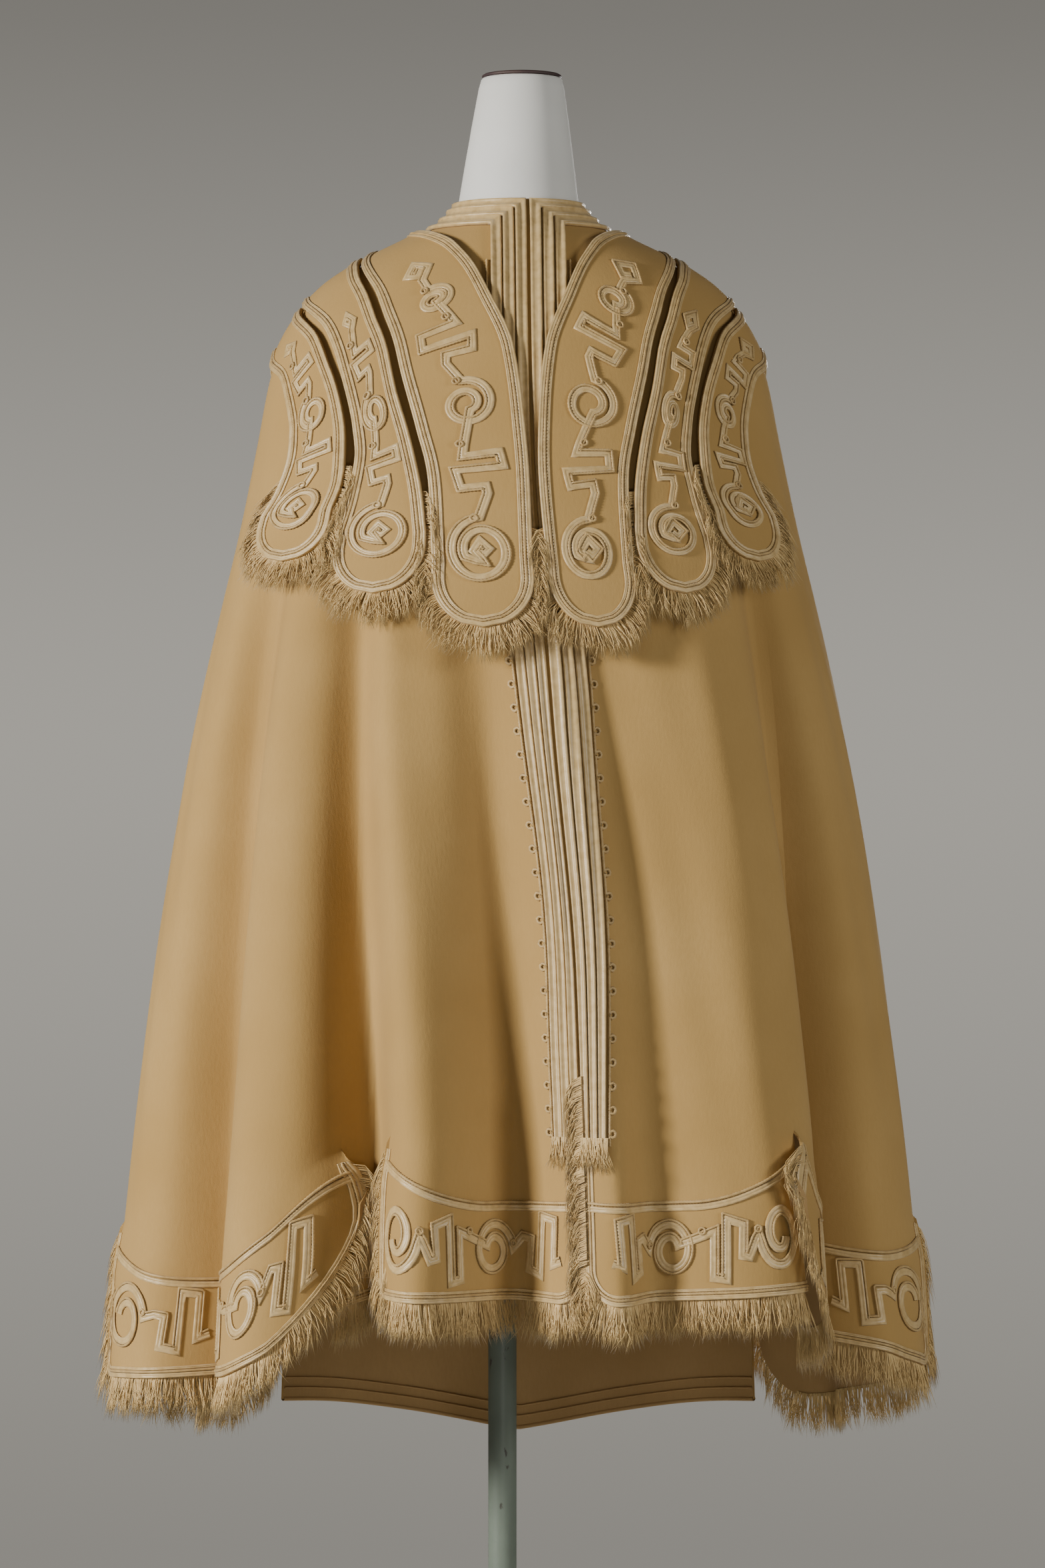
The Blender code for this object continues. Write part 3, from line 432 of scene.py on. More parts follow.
class Shape:
    """Points and faces gathered for one object."""

    def __init__(self):
        self.points, self.quads, self.tris, self.marks = [], [], [], []
        self.count = 0

    def add(self, points, quads=None, tris=None, marks=None):
        points = np.asarray(points, float).reshape(-1, 3)
        for faces, kept in ((quads, self.quads), (tris, self.tris)):
            if faces is not None and len(faces):
                kept.append(np.asarray(faces) + self.count)
        self.points.append(points)
        self.marks.append(np.zeros((len(points), 2)) if marks is None
                          else np.asarray(marks, float).reshape(-1, 2))
        self.count += len(points)

    def build(self, name, materials):
        """A smooth mesh object with the marks as its UV map."""
        mesh = bpy.data.meshes.new(name)
        points = np.concatenate(self.points)
        marks = np.concatenate(self.marks)
        quads = np.concatenate(self.quads) if self.quads else np.zeros((0, 4), int)
        tris = np.concatenate(self.tris) if self.tris else np.zeros((0, 3), int)
        corners = np.concatenate([quads.ravel(), tris.ravel()]).astype(np.int32)
        starts = np.concatenate([np.arange(len(quads)) * 4, quads.size + np.arange(len(tris)) * 3])
        mesh.vertices.add(len(points))
        mesh.vertices.foreach_set("co", points.ravel().astype(np.float32))
        mesh.loops.add(len(corners))
        mesh.loops.foreach_set("vertex_index", corners)
        mesh.polygons.add(len(starts))
        mesh.polygons.foreach_set("loop_start", starts.astype(np.int32))
        mesh.update(calc_edges=True)
        layer = mesh.uv_layers.new(name="marks")
        layer.data.foreach_set("uv", marks[corners].ravel().astype(np.float32))
        mesh.shade_smooth()
        for finish in materials:
            mesh.materials.append(finish)
        obj = bpy.data.objects.new(name, mesh)
        bpy.context.scene.collection.objects.link(obj)
        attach(obj, "root")
        return obj


def tidy_mesh(obj, merge):
    """Join points that meet, and turn the faces outwards."""
    shape = bmesh.new()
    shape.from_mesh(obj.data)
    bmesh.ops.remove_doubles(shape, verts=shape.verts, dist=merge)
    bmesh.ops.recalc_face_normals(shape, faces=shape.faces)
    shape.to_mesh(obj.data)
    shape.free()


def thicken(obj, towards):
    """Give a sheet the cloth's thickness on its inner side, with the inside finish there: the
    cloth's wrong side, in a lighter tone that is painted light for the light reaching the inside.
    """
    shape = bmesh.new()
    shape.from_mesh(obj.data)
    bmesh.ops.remove_doubles(shape, verts=shape.verts, dist=0.00002)
    bmesh.ops.recalc_face_normals(shape, faces=shape.faces)
    shape.faces.ensure_lookup_table()
    face = shape.faces[len(shape.faces) // 3]
    if face.normal.dot(face.calc_center_median() - towards) < 0:
        bmesh.ops.reverse_faces(shape, faces=shape.faces)
    shape.to_mesh(obj.data)
    shape.free()
    solid = obj.modifiers.new("thickness", "SOLIDIFY")
    solid.thickness = CLOTH
    solid.offset = -1
    solid.material_offset = 1
    thick = obj.evaluated_get(bpy.context.evaluated_depsgraph_get())
    mesh = bpy.data.meshes.new_from_object(thick)
    obj.modifiers.clear()
    obj.data = mesh
    mesh.set_sharp_from_angle(angle=math.radians(50))


# Trims lie in a flat chart, which a place function wraps onto the cloth

CORD_STEP = 0.0009
CORD_TWIST = 0.0052
CORD_RADIUS = 0.00125
KNOT_RADIUS = 0.0026
STATIONS = 4


def path_normals(path):
    """The way to the left of a flat path, lengthened at corners so that offsets stay even."""
    step = unit(np.diff(path, axis=0))
    before = np.concatenate([step[:1], step])
    after = np.concatenate([step, step[-1:]])
    if np.allclose(path[0], path[-1]):
        before[0], after[-1] = step[-1], step[0]
    total = before + after
    size = np.linalg.norm(total, axis=1, keepdims=True)
    way = total / np.maximum(size, 1e-6)
    return np.stack([-way[:, 1], way[:, 0]], 1) / np.maximum(size / 2, 0.55)


def offset(path, distance):
    return path + path_normals(path) * distance


def path_length(path):
    steps = np.linalg.norm(np.diff(path, axis=0), axis=1)
    return np.concatenate([[0], np.cumsum(steps)])


def resampled(path, step):
    length = path_length(path)
    spots = np.linspace(0, length[-1], max(2, round(length[-1] / step) + 1))
    return np.stack([np.interp(spots, length, path[:, i]) for i in (0, 1)], 1)


def filled(path, step, clear=0.0032):
    """The path with its corners kept and its long straight stretches divided."""
    kept = [path[:1]]
    for a, b in zip(path, path[1:]):
        size = float(np.linalg.norm(b - a))
        room = size - 2 * clear
        if room > step:
            spots = np.linspace(clear, size - clear, round(room / step) + 1)
            kept.append(a + (b - a) * spots[:, None] / size)
        kept.append(b[None])
    return np.concatenate(kept)


def is_right_handed(place, x, y):
    """Whether the chart's two ways and its way out turn like X, Y and Z."""
    here, right, up, out = (place(np.array(x + a), np.array(y + b), c) for a, b, c in
                            ((0, 0, 0), (1e-3, 0, 0), (0, 1e-3, 0), (0, 0, 1e-3)))
    return float(np.dot(np.cross(right - here, up - here), out - here)) > 0


def add_sweep(shape, place, path, across, height):
    """A closed section swept along a path: across and height give it at every station."""
    normals = path_normals(path)
    across, height = np.broadcast_arrays(across, height)
    across = np.broadcast_to(across, (len(path), across.shape[-1]))
    x = path[:, :1] + normals[:, :1] * across
    y = path[:, 1:] + normals[:, 1:] * across
    points = place(x, y, height + 0 * x)
    quads = grid_quads(*x.shape, wrap=True)
    middle = len(path) // 2
    if is_right_handed(place, path[middle, 0], path[middle, 1]):
        quads = quads[:, ::-1]
    length = np.broadcast_to(path_length(path)[:, None], x.shape)
    shape.add(points, quads, marks=np.stack([length, across + 0 * x], -1))


FLAT_RIBBON = ((-0.5, 0.0), (-0.43, 0.9), (-0.10, 1.0), (0.0, 0.55), (0.10, 1.0), (0.43, 0.9),
               (0.5, 0.0), (0.0, -0.3))
ROW_RIBBON = ((-0.5, 0.0), (-0.47, 0.42), (-0.36, 0.62), (-0.24, 0.40), (0.02, 0.22), (0.18, 0.62),
              (0.34, 1.0), (0.46, 0.85), (0.5, 0.0), (0.0, -0.2))


def add_ribbon(shape, place, path, width, rise=0.0011, base=0.0001, climb=0.0,
               section_points=FLAT_RIBBON):
    """A ribbon sewn down along a path; climb lifts its end over its beginning."""
    section_points = np.array(section_points)
    share = path_length(path)[:, None]
    share = share / share[-1]
    add_sweep(shape, place, path, section_points[None, :, 0] * width,
              base + section_points[None, :, 1] * rise + climb * share)


def add_cord(shape, place, path, radius=CORD_RADIUS, base=0.0, climb=0.0, fine=True):
    """A cord of two twisted strands along a path."""
    path = resampled(path, CORD_STEP if fine else 3 * CORD_STEP)
    length = path_length(path)[:, None]
    around = np.linspace(0, 2 * math.pi, 6 if fine else 5, endpoint=False)
    swell = 1 + (0.24 if fine else 0.0) * np.cos(2 * around - 4 * math.pi * length / CORD_TWIST)
    add_sweep(shape, place, path, radius * swell * np.cos(around),
              base + radius * 0.8 + radius * swell * np.sin(around)
              + climb * length / length[-1])


def ring_path(centre, radius, start=90.0, turn=360.0, end_share=1.0, count=20):
    """Points on a circle or, where end_share differs from 1, on a spiral."""
    share = np.linspace(0, 1, count)
    angle = np.radians(start + turn * share)
    size = radius * (1 + (end_share - 1) * share)
    return np.stack([centre[0] + size * np.cos(angle), centre[1] + size * np.sin(angle)], 1)


KEY = ((-0.30, 1.0), (-0.42, 0.52), (0.92, 0.62), (1.0, 0.02), (-0.78, -0.12), (-0.62, -0.78),
       (0.30, -0.66), (0.36, -1.0))
LOZENGE = ((0.0, -1.0), (0.85, -0.10), (0.10, 0.95), (-0.80, 0.15), (-0.20, -0.45), (0.28, 0.0))
LOZENGE_SHARE = 0.34


def motif(kind, across, along, wide, tall, hand):
    """One unit of the ornament, from its upper end to its lower one, and its half sizes."""
    centre = (across, along)
    if kind == "key":
        return np.array(KEY) * [wide * hand, tall] + centre
    if kind == "lozenge":
        return np.array(LOZENGE[::-1]) * [wide * hand, tall] + centre
    if kind == "ring":
        return ring_path((0, 0), 1.0, 90, -hand * 520, 0.34, 44) * [wide, tall] + centre
    spiral = ring_path((0, 0), 1.0, 90, -hand * 470, 0.52, 46)
    middle = np.array(LOZENGE) * [LOZENGE_SHARE * hand, LOZENGE_SHARE]
    return np.concatenate([spiral, middle]) * [wide, tall] + centre


def add_chain(ribbons, cords, place, units, width, fine=True, swapped=False):
    """Units joined into one run of ribbon with a cord beside it and knots where they meet."""
    parts = [motif(*unit_row) for unit_row in units]
    path = np.concatenate(parts)
    joints = [part[0] + (width * 0.8, 0.0) for part in parts[1:]]
    if swapped:
        path = path[:, ::-1]
        joints = [joint[::-1] for joint in joints]
    add_ribbon(ribbons, place, filled(path, 0.005, 0.003), width, climb=0.0006)
    beside = offset(filled(path, 0.004, 0.003), width / 2 + CORD_RADIUS * 0.8)
    add_cord(cords, place, beside, CORD_RADIUS * 0.85, climb=0.0006, fine=fine)
    for joint in joints:
        add_cord(cords, place, ring_path(joint, KNOT_RADIUS, count=16), CORD_RADIUS * 0.75,
                 base=0.0011, fine=fine)


def add_strands(shape, place, path, rng, per_metre, length, start_out, spread, inset=0.0025):
    """Loose threads of fringe, in locks, hanging from under an edge that lies left of its path."""
    reach = path_length(path)
    count = max(3, int(reach[-1] * per_metre))
    spot = np.sort(rng.uniform(0, reach[-1], count))
    lock = np.floor(spot / 0.0065 + 0.25 * np.sin(spot * 700)).astype(int)
    lock -= lock.min()
    kinds = rng.normal(0, 1, (lock.max() + 1, 3))
    middle = np.array([spot[lock == i].mean() if (lock == i).any() else 0
                       for i in range(lock.max() + 1)])
    step = unit(np.diff(path, axis=0))
    step = np.concatenate([step, step[-1:]])
    along = np.stack([np.interp(spot, reach, step[:, i]) for i in (0, 1)], 1)
    along = unit(along)
    away = np.stack([along[:, 1], -along[:, 0]], 1)
    root = np.stack([np.interp(spot, reach, path[:, i]) for i in (0, 1)], 1) - away * inset
    t = np.linspace(0, 1, STATIONS)[None, :]
    size = length * (1 + 0.07 * kinds[lock, 0] + rng.normal(0, 0.08, count))[:, None]
    size = np.clip(size, 0.5 * length, 1.2 * length)
    gather = (middle[lock] - spot)[:, None] * 0.14 * t
    lean = (0.08 * kinds[lock, 1] + rng.normal(0, 0.17, count))[:, None] * size * t**1.5
    phase = rng.uniform(0, 2 * math.pi, (count, 1))
    curl = 0.0017 * t * np.sin(phase + t * 5.5)
    below = np.clip(-away[:, 1:], 0, 1)
    outwards = size * (0.80 + 0.20 * below) * (t - t**2 / 2)
    fall = size * (0.85 - 0.35 * below) * t**2
    x = root[:, :1] + away[:, :1] * outwards + along[:, :1] * (gather + lean) + curl
    y = root[:, 1:] + away[:, 1:] * outwards - fall + along[:, 1:] * (gather + lean * 0.4)
    start = np.interp(spot, reach, np.broadcast_to(start_out, len(path)))[:, None]
    out = start + spread * t * (0.45 + 0.15 * kinds[lock, 2][:, None]
                                + rng.normal(0, 0.40, (count, 1)))
    out = np.maximum(out, start - 0.0004)
    centre = place(x, y, out)
    tangent = unit(np.gradient(centre, axis=1))
    side = unit(np.cross(tangent, unit(np.array([0.35, 1.0, 0.2]))))
    other = np.cross(tangent, side)
    width = np.array([0.00042, 0.00038, 0.00030])[None, :, None]
    rings = []
    for corner in range(3):
        angle = 2 * math.pi * corner / 3
        way = side * math.cos(angle) + other * math.sin(angle)
        rings.append(centre[:, :-1] + way[:, :-1] * width)
    rings = np.stack(rings, 2).reshape(count, 9, 3)
    points = np.concatenate([rings, centre[:, -1:]], 1)
    start = (np.arange(count) * 10)[:, None]
    quads = np.concatenate([start + np.array([[r * 3 + c, r * 3 + (c + 1) % 3,
                                               r * 3 + 3 + (c + 1) % 3, r * 3 + 3 + c]])
                            for r in range(2) for c in range(3)])
    tris = np.concatenate([start + np.array([[6 + c, 6 + (c + 1) % 3, 9]]) for c in range(3)])
    tone = np.clip(0.5 + 0.16 * kinds[lock, 0] + rng.normal(0, 0.16, count), 0, 1)
    marks = np.stack([np.broadcast_to([0, 0, 0, 0.33, 0.33, 0.33, 0.66, 0.66, 0.66, 1.0],
                                      (count, 10)),
                      np.broadcast_to(tone[:, None], (count, 10))], -1)
    shape.add(points, quads, tris, marks)


# Finishes

def new_finish(name, roughness, sheen=0.0, specular=0.3):
    made = bpy.data.materials.new(name)
    made.use_nodes = True
    shader = made.node_tree.nodes["Principled BSDF"]
    shader.inputs["Roughness"].default_value = roughness
    shader.inputs["Sheen Weight"].default_value = sheen
    shader.inputs["Sheen Roughness"].default_value = 0.45
    shader.inputs["Specular IOR Level"].default_value = specular
    return made


def add_node(made, kind, **values):
    node = made.node_tree.nodes.new(kind)
    for key, value in values.items():
        setattr(node, key, value)
    return node


def join(made, start, end):
    made.node_tree.links.new(start, end)


def noise(made, scale, detail=2.0, stretch=(1, 1, 1), source="Object"):
    """The value of a noise over the object, in features per metre."""
    place = add_node(made, "ShaderNodeTexCoord")
    scaled = add_node(made, "ShaderNodeMapping")
    scaled.inputs["Scale"].default_value = stretch
    cloud = add_node(made, "ShaderNodeTexNoise")
    cloud.inputs["Scale"].default_value = scale
    cloud.inputs["Detail"].default_value = detail
    join(made, place.outputs[source], scaled.inputs["Vector"])
    join(made, scaled.outputs["Vector"], cloud.inputs["Vector"])
    return cloud.outputs["Fac"]


def remap(made, value, low, high, to_low=0.0, to_high=1.0):
    node = add_node(made, "ShaderNodeMapRange")
    for name, number in (("From Min", low), ("From Max", high), ("To Min", to_low),
                         ("To Max", to_high)):
        node.inputs[name].default_value = number
    join(made, value, node.inputs["Value"])
    return node.outputs["Result"]


def blend_colours(made, share, first, second, mode="MIX"):
    """A mix of two colours, each a colour or the output of a node."""
    node = add_node(made, "ShaderNodeMix", data_type="RGBA", blend_type=mode)
    for index, colour in ((6, first), (7, second)):
        if isinstance(colour, tuple):
            node.inputs[index].default_value = (*colour, 1)
        else:
            join(made, colour, node.inputs[index])
    if isinstance(share, float):
        node.inputs[0].default_value = share
    else:
        join(made, share, node.inputs[0])
    return node.outputs[2]


def add_bumps(made, *rows):
    """Bumps on top of each other: the value, strength and depth of each."""
    shader = made.node_tree.nodes["Principled BSDF"]
    before = None
    for value, strength, depth in rows:
        node = add_node(made, "ShaderNodeBump")
        node.inputs["Strength"].default_value = strength
        node.inputs["Distance"].default_value = depth
        join(made, value, node.inputs["Height"])
        if before:
            join(made, before, node.inputs["Normal"])
        before = node.outputs["Normal"]
    join(made, before, shader.inputs["Normal"])


def set_colour(made, colour):
    join(made, colour, made.node_tree.nodes["Principled BSDF"].inputs["Base Color"])


def make_wool(name, light, dark, sheen):
    """Felted broadcloth: soft mottling, brushed nap and stray fibres."""
    made = new_finish(name, 0.88, sheen, 0.15)
    cloud = remap(made, noise(made, 7.0, 3.0), 0.3, 0.7)
    nap = noise(made, 420.0, 3.0, (1.0, 1.0, 0.35))
    fibre = noise(made, 1300.0, 2.0)
    base = blend_colours(made, cloud, dark, light)
    base = blend_colours(made, remap(made, nap, 0.35, 0.75, 0.0, 0.30), base, dark)
    set_colour(made, base)
    add_bumps(made, (nap, 0.28, 0.0006), (fibre, 0.35, 0.0003))
    return made


def make_satin(name, light, dark, roughness):
    """Ribbon with fine crosswise ribs, and dull worn places."""
    made = new_finish(name, roughness, 0.15, 0.5)
    worn = remap(made, noise(made, 160.0, 3.0), 0.40, 0.70)
    set_colour(made, blend_colours(made, worn, light, dark))
    ribs = add_node(made, "ShaderNodeTexWave", bands_direction="X")
    ribs.inputs["Scale"].default_value = 420.0
    marks = add_node(made, "ShaderNodeUVMap", uv_map="marks")
    join(made, marks.outputs["UV"], ribs.inputs["Vector"])
    add_bumps(made, (ribs.outputs["Fac"], 0.25, 0.0002), (noise(made, 300.0), 0.25, 0.0004))
    return made


def make_fringe(name, light, dark):
    """Silk threads, each of its own tone."""
    made = new_finish(name, 0.55, 0.2, 0.35)
    marks = add_node(made, "ShaderNodeUVMap", uv_map="marks")
    split = add_node(made, "ShaderNodeSeparateXYZ")
    join(made, marks.outputs["UV"], split.inputs["Vector"])
    set_colour(made, blend_colours(made, split.outputs["Y"], dark, light))
    add_bumps(made, (noise(made, 900.0), 0.2, 0.0002))
    return made


def make_plain(name, light, dark, roughness, scale, depth, chips=None):
    """A smooth surface with faint stains, and chips in its paint where asked."""
    made = new_finish(name, roughness, 0.0, 0.35)
    stain = remap(made, noise(made, scale, 4.0), 0.35, 0.7)
    colour = blend_colours(made, stain, light, dark)
    grain = noise(made, scale * 18, 2.0)
    bumps = [(grain, 0.3, depth)]
    if chips:
        flaw = remap(made, noise(made, 70.0, 5.0, (1, 1, 0.5)), 0.63, 0.66)
        colour = blend_colours(made, flaw, colour, chips)
        bumps.append((flaw, -0.4, 0.0006))
    set_colour(made, colour)
    add_bumps(made, *bumps)
    return made


WOOL = make_wool("wool", (0.450, 0.288, 0.104), (0.385, 0.238, 0.078), 0.08)
# The cape's inside face, lighter than the outer wool: its tone is painted light standing in for
# light that reaches the inside.
WOOL_INSIDE_PAINTED_LIGHT = make_wool("wool_inside_painted_light", (0.500, 0.325, 0.145), (0.380, 0.238, 0.098), 0.05)
SATIN = make_satin("satin", (0.600, 0.430, 0.200), (0.480, 0.325, 0.130), 0.30)
CORD = make_satin("cord", (0.520, 0.355, 0.145), (0.390, 0.250, 0.090), 0.45)
FRINGE = make_fringe("fringe", (0.720, 0.520, 0.230), (0.460, 0.300, 0.110))
FORM = make_plain("form", (0.700, 0.695, 0.655), (0.640, 0.635, 0.595), 0.62, 12.0, 0.0002)
JERSEY = make_wool("jersey", (0.66, 0.64, 0.58), (0.52, 0.49, 0.43), 0.1)
CAP = make_plain("cap", (0.050, 0.030, 0.032), (0.090, 0.060, 0.050), 0.60, 40.0, 0.0003)
PAINT = make_plain("paint", (0.165, 0.200, 0.160), (0.120, 0.145, 0.115), 0.45, 16.0, 0.0004,
                   (0.060, 0.055, 0.045))


# Pieces

def cloth_area(grid):
    """Flat area of a grid of points."""
    first = np.cross(grid[1:, 1:] - grid[:-1, :-1], grid[1:, :-1] - grid[:-1, 1:])
    return float(np.linalg.norm(first, axis=-1).sum() / 2)


def length_along(grid):
    return float(np.linalg.norm(np.diff(grid, axis=0), axis=-1).sum(0).max())


def make_panel(name, stretches):
    """One cloth piece of the cape's body, with its size before it was hung."""
    shape = Shape()
    grids = [stretch.grid() for stretch in stretches]
    for grid in grids:
        rows, columns = grid.shape[:2]
        marks = np.stack(np.meshgrid(np.arange(rows), np.arange(columns), indexing="ij"), -1)
        shape.add(grid, grid_quads(rows, columns), marks=marks * 0.01)
    obj = shape.build("cloth_" + name, [WOOL, WOOL_INSIDE_PAINTED_LIGHT])
    thicken(obj, Vector((GARMENT_X, 0.0, 0.9)))
    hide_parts("cape_" + name)
    width = sum(stretch.length for stretch in stretches)
    length = max(length_along(grid) for grid in grids)
    return obj, (width, length), sum(cloth_area(grid) for grid in grids)


HEM_EDGE_TOP = 0.120
RIBBON = 0.0040
THIN_RIBBON = 0.0025
HEM_MOTIF_RIBBON = 0.0062
SWAG_RIBBON = 0.0054
BORDER = 0.0095
FRINGE_LENGTH = 0.034
UNDER_CLOTH = -CLOTH - 0.0008
OVER_NEIGHBOUR = 0.0008
SLIT_SPANS = (-142, -83, -33, -25, 0, 40, 83, 142)


def hem_path(stretch):
    """The edge of a stretch, down its slit and round its rounded corners, as a flat path."""
    radius, far = stretch.first[0], stretch.last[0]
    quarter = 1 - np.cos(np.linspace(0, math.pi / 2, 12))
    parts = []
    along = np.linspace(0, stretch.length, max(3, round(stretch.length / 0.006)))
    if radius > 0.001:
        if not stretch.laps:
            down = np.linspace(HEM_EDGE_TOP, radius, max(2, round((HEM_EDGE_TOP - radius) / 0.006)))
            parts.append(np.stack([0 * down, down], 1)[:-1])
        along = np.concatenate([radius * quarter, along[along > radius + 0.003]])
    if far > 0.001:
        along = np.concatenate([along[along < stretch.length - far - 0.003],
                                stretch.length - far * quarter[::-1]])
    parts.append(np.stack([along, stretch.bottom(along)], 1))
    if far > 0.001:
        rise = np.linspace(far, HEM_EDGE_TOP, max(2, round((HEM_EDGE_TOP - far) / 0.006)))
        parts.append(np.stack([stretch.length + 0 * rise, rise], 1)[1:])
    return np.concatenate(parts)


def swag_height(angle):
    """Height over the hem of the border that hangs from the top of one slit to the next."""
    ends = np.array(SLIT_SPANS, float)
    i = np.clip(np.searchsorted(ends, angle) - 1, 0, len(ends) - 2)
    share = (angle - ends[i]) / (ends[i + 1] - ends[i])
    high = np.where(share < 0.5, ends[i] != 0, ends[i + 1] != 0)
    return 0.074 + np.where(high, 0.034, 0.004) * np.abs(2 * share - 1)**1.7


def hem_units(stretch):
    """Keys and rings in turn along a stretch of the hem."""
    start = 0.030 if stretch.first[0] > 0.05 else 0.020
    end = stretch.length - (0.034 if stretch.last[0] > 0.05 else 0.006)
    count = max(1, round((end - start) / 0.050))
    pitch = (end - start) / count
    units = []
    for i in range(count):
        along = start + (i + 0.5) * pitch
        height = float(swag_height(stretch.angle_at(along)))
        kind = "ring" if i % 2 else "key"
        wide = (height - BORDER - 0.004) / 2 * (0.86 if kind == "key" else 0.74)
        hand = 1 if i % 4 < 2 else -1
        units.append((kind, (height + BORDER - 0.002) / 2, along, wide, -0.41 * pitch, hand))
    return units


def add_border(ribbons, cords, place, path, fine):
    """Two ribbons and a cord along the edge of a piece."""
    add_ribbon(ribbons, place, offset(path, 0.0021), RIBBON, 0.0013)
    add_cord(cords, place, offset(path, 0.0053), CORD_RADIUS * 0.9, fine=fine)
    add_ribbon(ribbons, place, offset(path, 0.0080), THIN_RIBBON, 0.0011)


def make_hem(name, stretches, rng):
    """Ribbon, cord, ornament and fringe along the lower edge of one cloth piece."""
    ribbons, cords, fringe = Shape(), Shape(), Shape()
    fine = name.startswith("front")
    numbers = range(1, len(stretches) + 1)
    for stretch in stretches:
        path = hem_path(stretch)
        place = stretch.place
        add_border(ribbons, cords, place, path, fine)
        along = np.linspace(0.004, stretch.length - 0.002, round(stretch.length / 0.006))
        swag = np.stack([along, swag_height(stretch.angle_at(along))], 1)
        add_ribbon(ribbons, place, swag, SWAG_RIBBON, 0.0014)
        add_cord(cords, place, swag + [0, 0.0045], fine=fine)
        add_chain(ribbons, cords, place, hem_units(stretch), HEM_MOTIF_RIBBON, fine, swapped=True)
        at_slit = path[:, 1] > 0.004
        add_strands(fringe, place, path, rng, 3400 if fine else 2600, FRINGE_LENGTH,
                    np.where(at_slit, OVER_NEIGHBOUR, UNDER_CLOTH), 0.006)
    made = (ribbons.build("hem_ribbons_" + name, [SATIN]), cords.build("hem_cords_" + name, [CORD]),
            fringe.build("fringe_hem_" + name, [FRINGE]))
    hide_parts(*(f"hem_braid_{name}_{i}" for i in numbers))
    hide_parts(*(f"hem_fringe_{name}_{i}" for i in numbers))
    return list(made)


# Ornament down each strap: kind, height over the tip, share of the width, half height and hand
STRAP_UNITS = {
    "inner": (("lozenge", 0.322, 0.42, 0.0105, 1), ("ring", 0.289, 0.50, 0.0115, 1),
              ("key", 0.249, 0.66, 0.0200, -1), ("ring", 0.190, 0.66, 0.0210, 1),
              ("key", 0.134, 0.72, 0.0215, 1), ("scroll", 0.064, 0.86, 0.0270, -1)),
    "middle": (("lozenge", 0.244, 0.50, 0.0090, 1), ("key", 0.206, 0.80, 0.0165, 1),
               ("ring", 0.156, 0.80, 0.0165, -1), ("key", 0.110, 0.84, 0.0180, 1),
               ("scroll", 0.052, 0.94, 0.0225, -1)),
    "outer": (("lozenge", 0.204, 0.50, 0.0080, 1), ("key", 0.170, 0.80, 0.0145, 1),
              ("ring", 0.130, 0.80, 0.0140, -1), ("key", 0.092, 0.84, 0.0140, 1),
              ("scroll", 0.047, 0.94, 0.0200, -1)),
}
MOTIF_RIBBONS = {"inner": 0.0052, "middle": 0.0042, "outer": 0.0040}
FRINGE_TOPS = {"inner": 0.085, "middle": 0.085, "outer": 0.080}


def strap_units(half, kind):
    """The strap's ornament, each unit as wide as its share of the room between the borders."""
    units = []
    for name, up, share, tall, hand in STRAP_UNITS[kind]:
        room = float(half.half_width(up)) - BORDER
        units.append((name, 0.0, up, share * room, tall, hand * half.side))
    return units


def make_strap(kind, word, rng):
    """A strap from its front end over the shoulder to its back end, with its trims."""
    side = -1 if word == "left" else 1
    name = f"{kind}_{word}"
    halves = [Strap(kind, side, behind) for behind in (False, True)]
    cloth, ribbons, cords = Shape(), Shape(), Shape()
    front, back = (half.grid() for half in halves)
    grid = np.concatenate([front[::-1], back[1:]])
    cloth.add(grid, grid_quads(*grid.shape[:2]))
    made = cloth.build("cloth_strap_" + name, [WOOL, WOOL_INSIDE_PAINTED_LIGHT])
    tidy_mesh(made, 0.00002)
    thicken(made, Vector((GARMENT_X, 0.0, 0.9)))
    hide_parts("strap_" + name)
    for half, end, fine in zip(halves, ("front", "back"), (True, False)):
        path = half.outline(half.top)
        add_border(ribbons, cords, half.place, path, fine)
        add_chain(ribbons, cords, half.place, strap_units(half, kind), MOTIF_RIBBONS[kind], fine)
        fringe = Shape()
        add_strands(fringe, half.place, half.outline(FRINGE_TOPS[kind]), rng,
                    3800 if fine else 1800, 0.030, -CLOTH - 0.0006, 0.007)
        threads = fringe.build(f"fringe_strap_{kind}_{end}_{word}", [FRINGE])
        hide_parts(f"strap_fringe_{kind}_{end}_{word}")
    for shape, label, looks in ((ribbons, "ribbons", SATIN), (cords, "cords", CORD)):
        shape.build(f"strap_{label}_{name}", [looks])
    return made


FRONT_ROW_BOTTOM = SLIT_LENGTH + BAND_BELOW_SLITS
PICOT_PITCH = 0.0190
PICOT_RADIUS = 0.0027
NECK_FROM = BAND_WIDTH + 0.004
ROWS_EDGE = BAND_WIDTH + BAND_FROM_OPENING
TUFT_LENGTH = 0.026
TUFT_WIDTH = 0.022
EDGE_FRINGE = (0.184, 0.034)

# How the rows narrow down the front, as a share of their width at the neck
ROWS_SHARE = {
    "z": (0.600, 0.675, 0.843, 1.020, 1.250),
    -1: (0.80, 0.80, 0.66, 0.82, 1.0),
    1: (0.68, 0.70, 0.86, 1.0, 1.0),
}


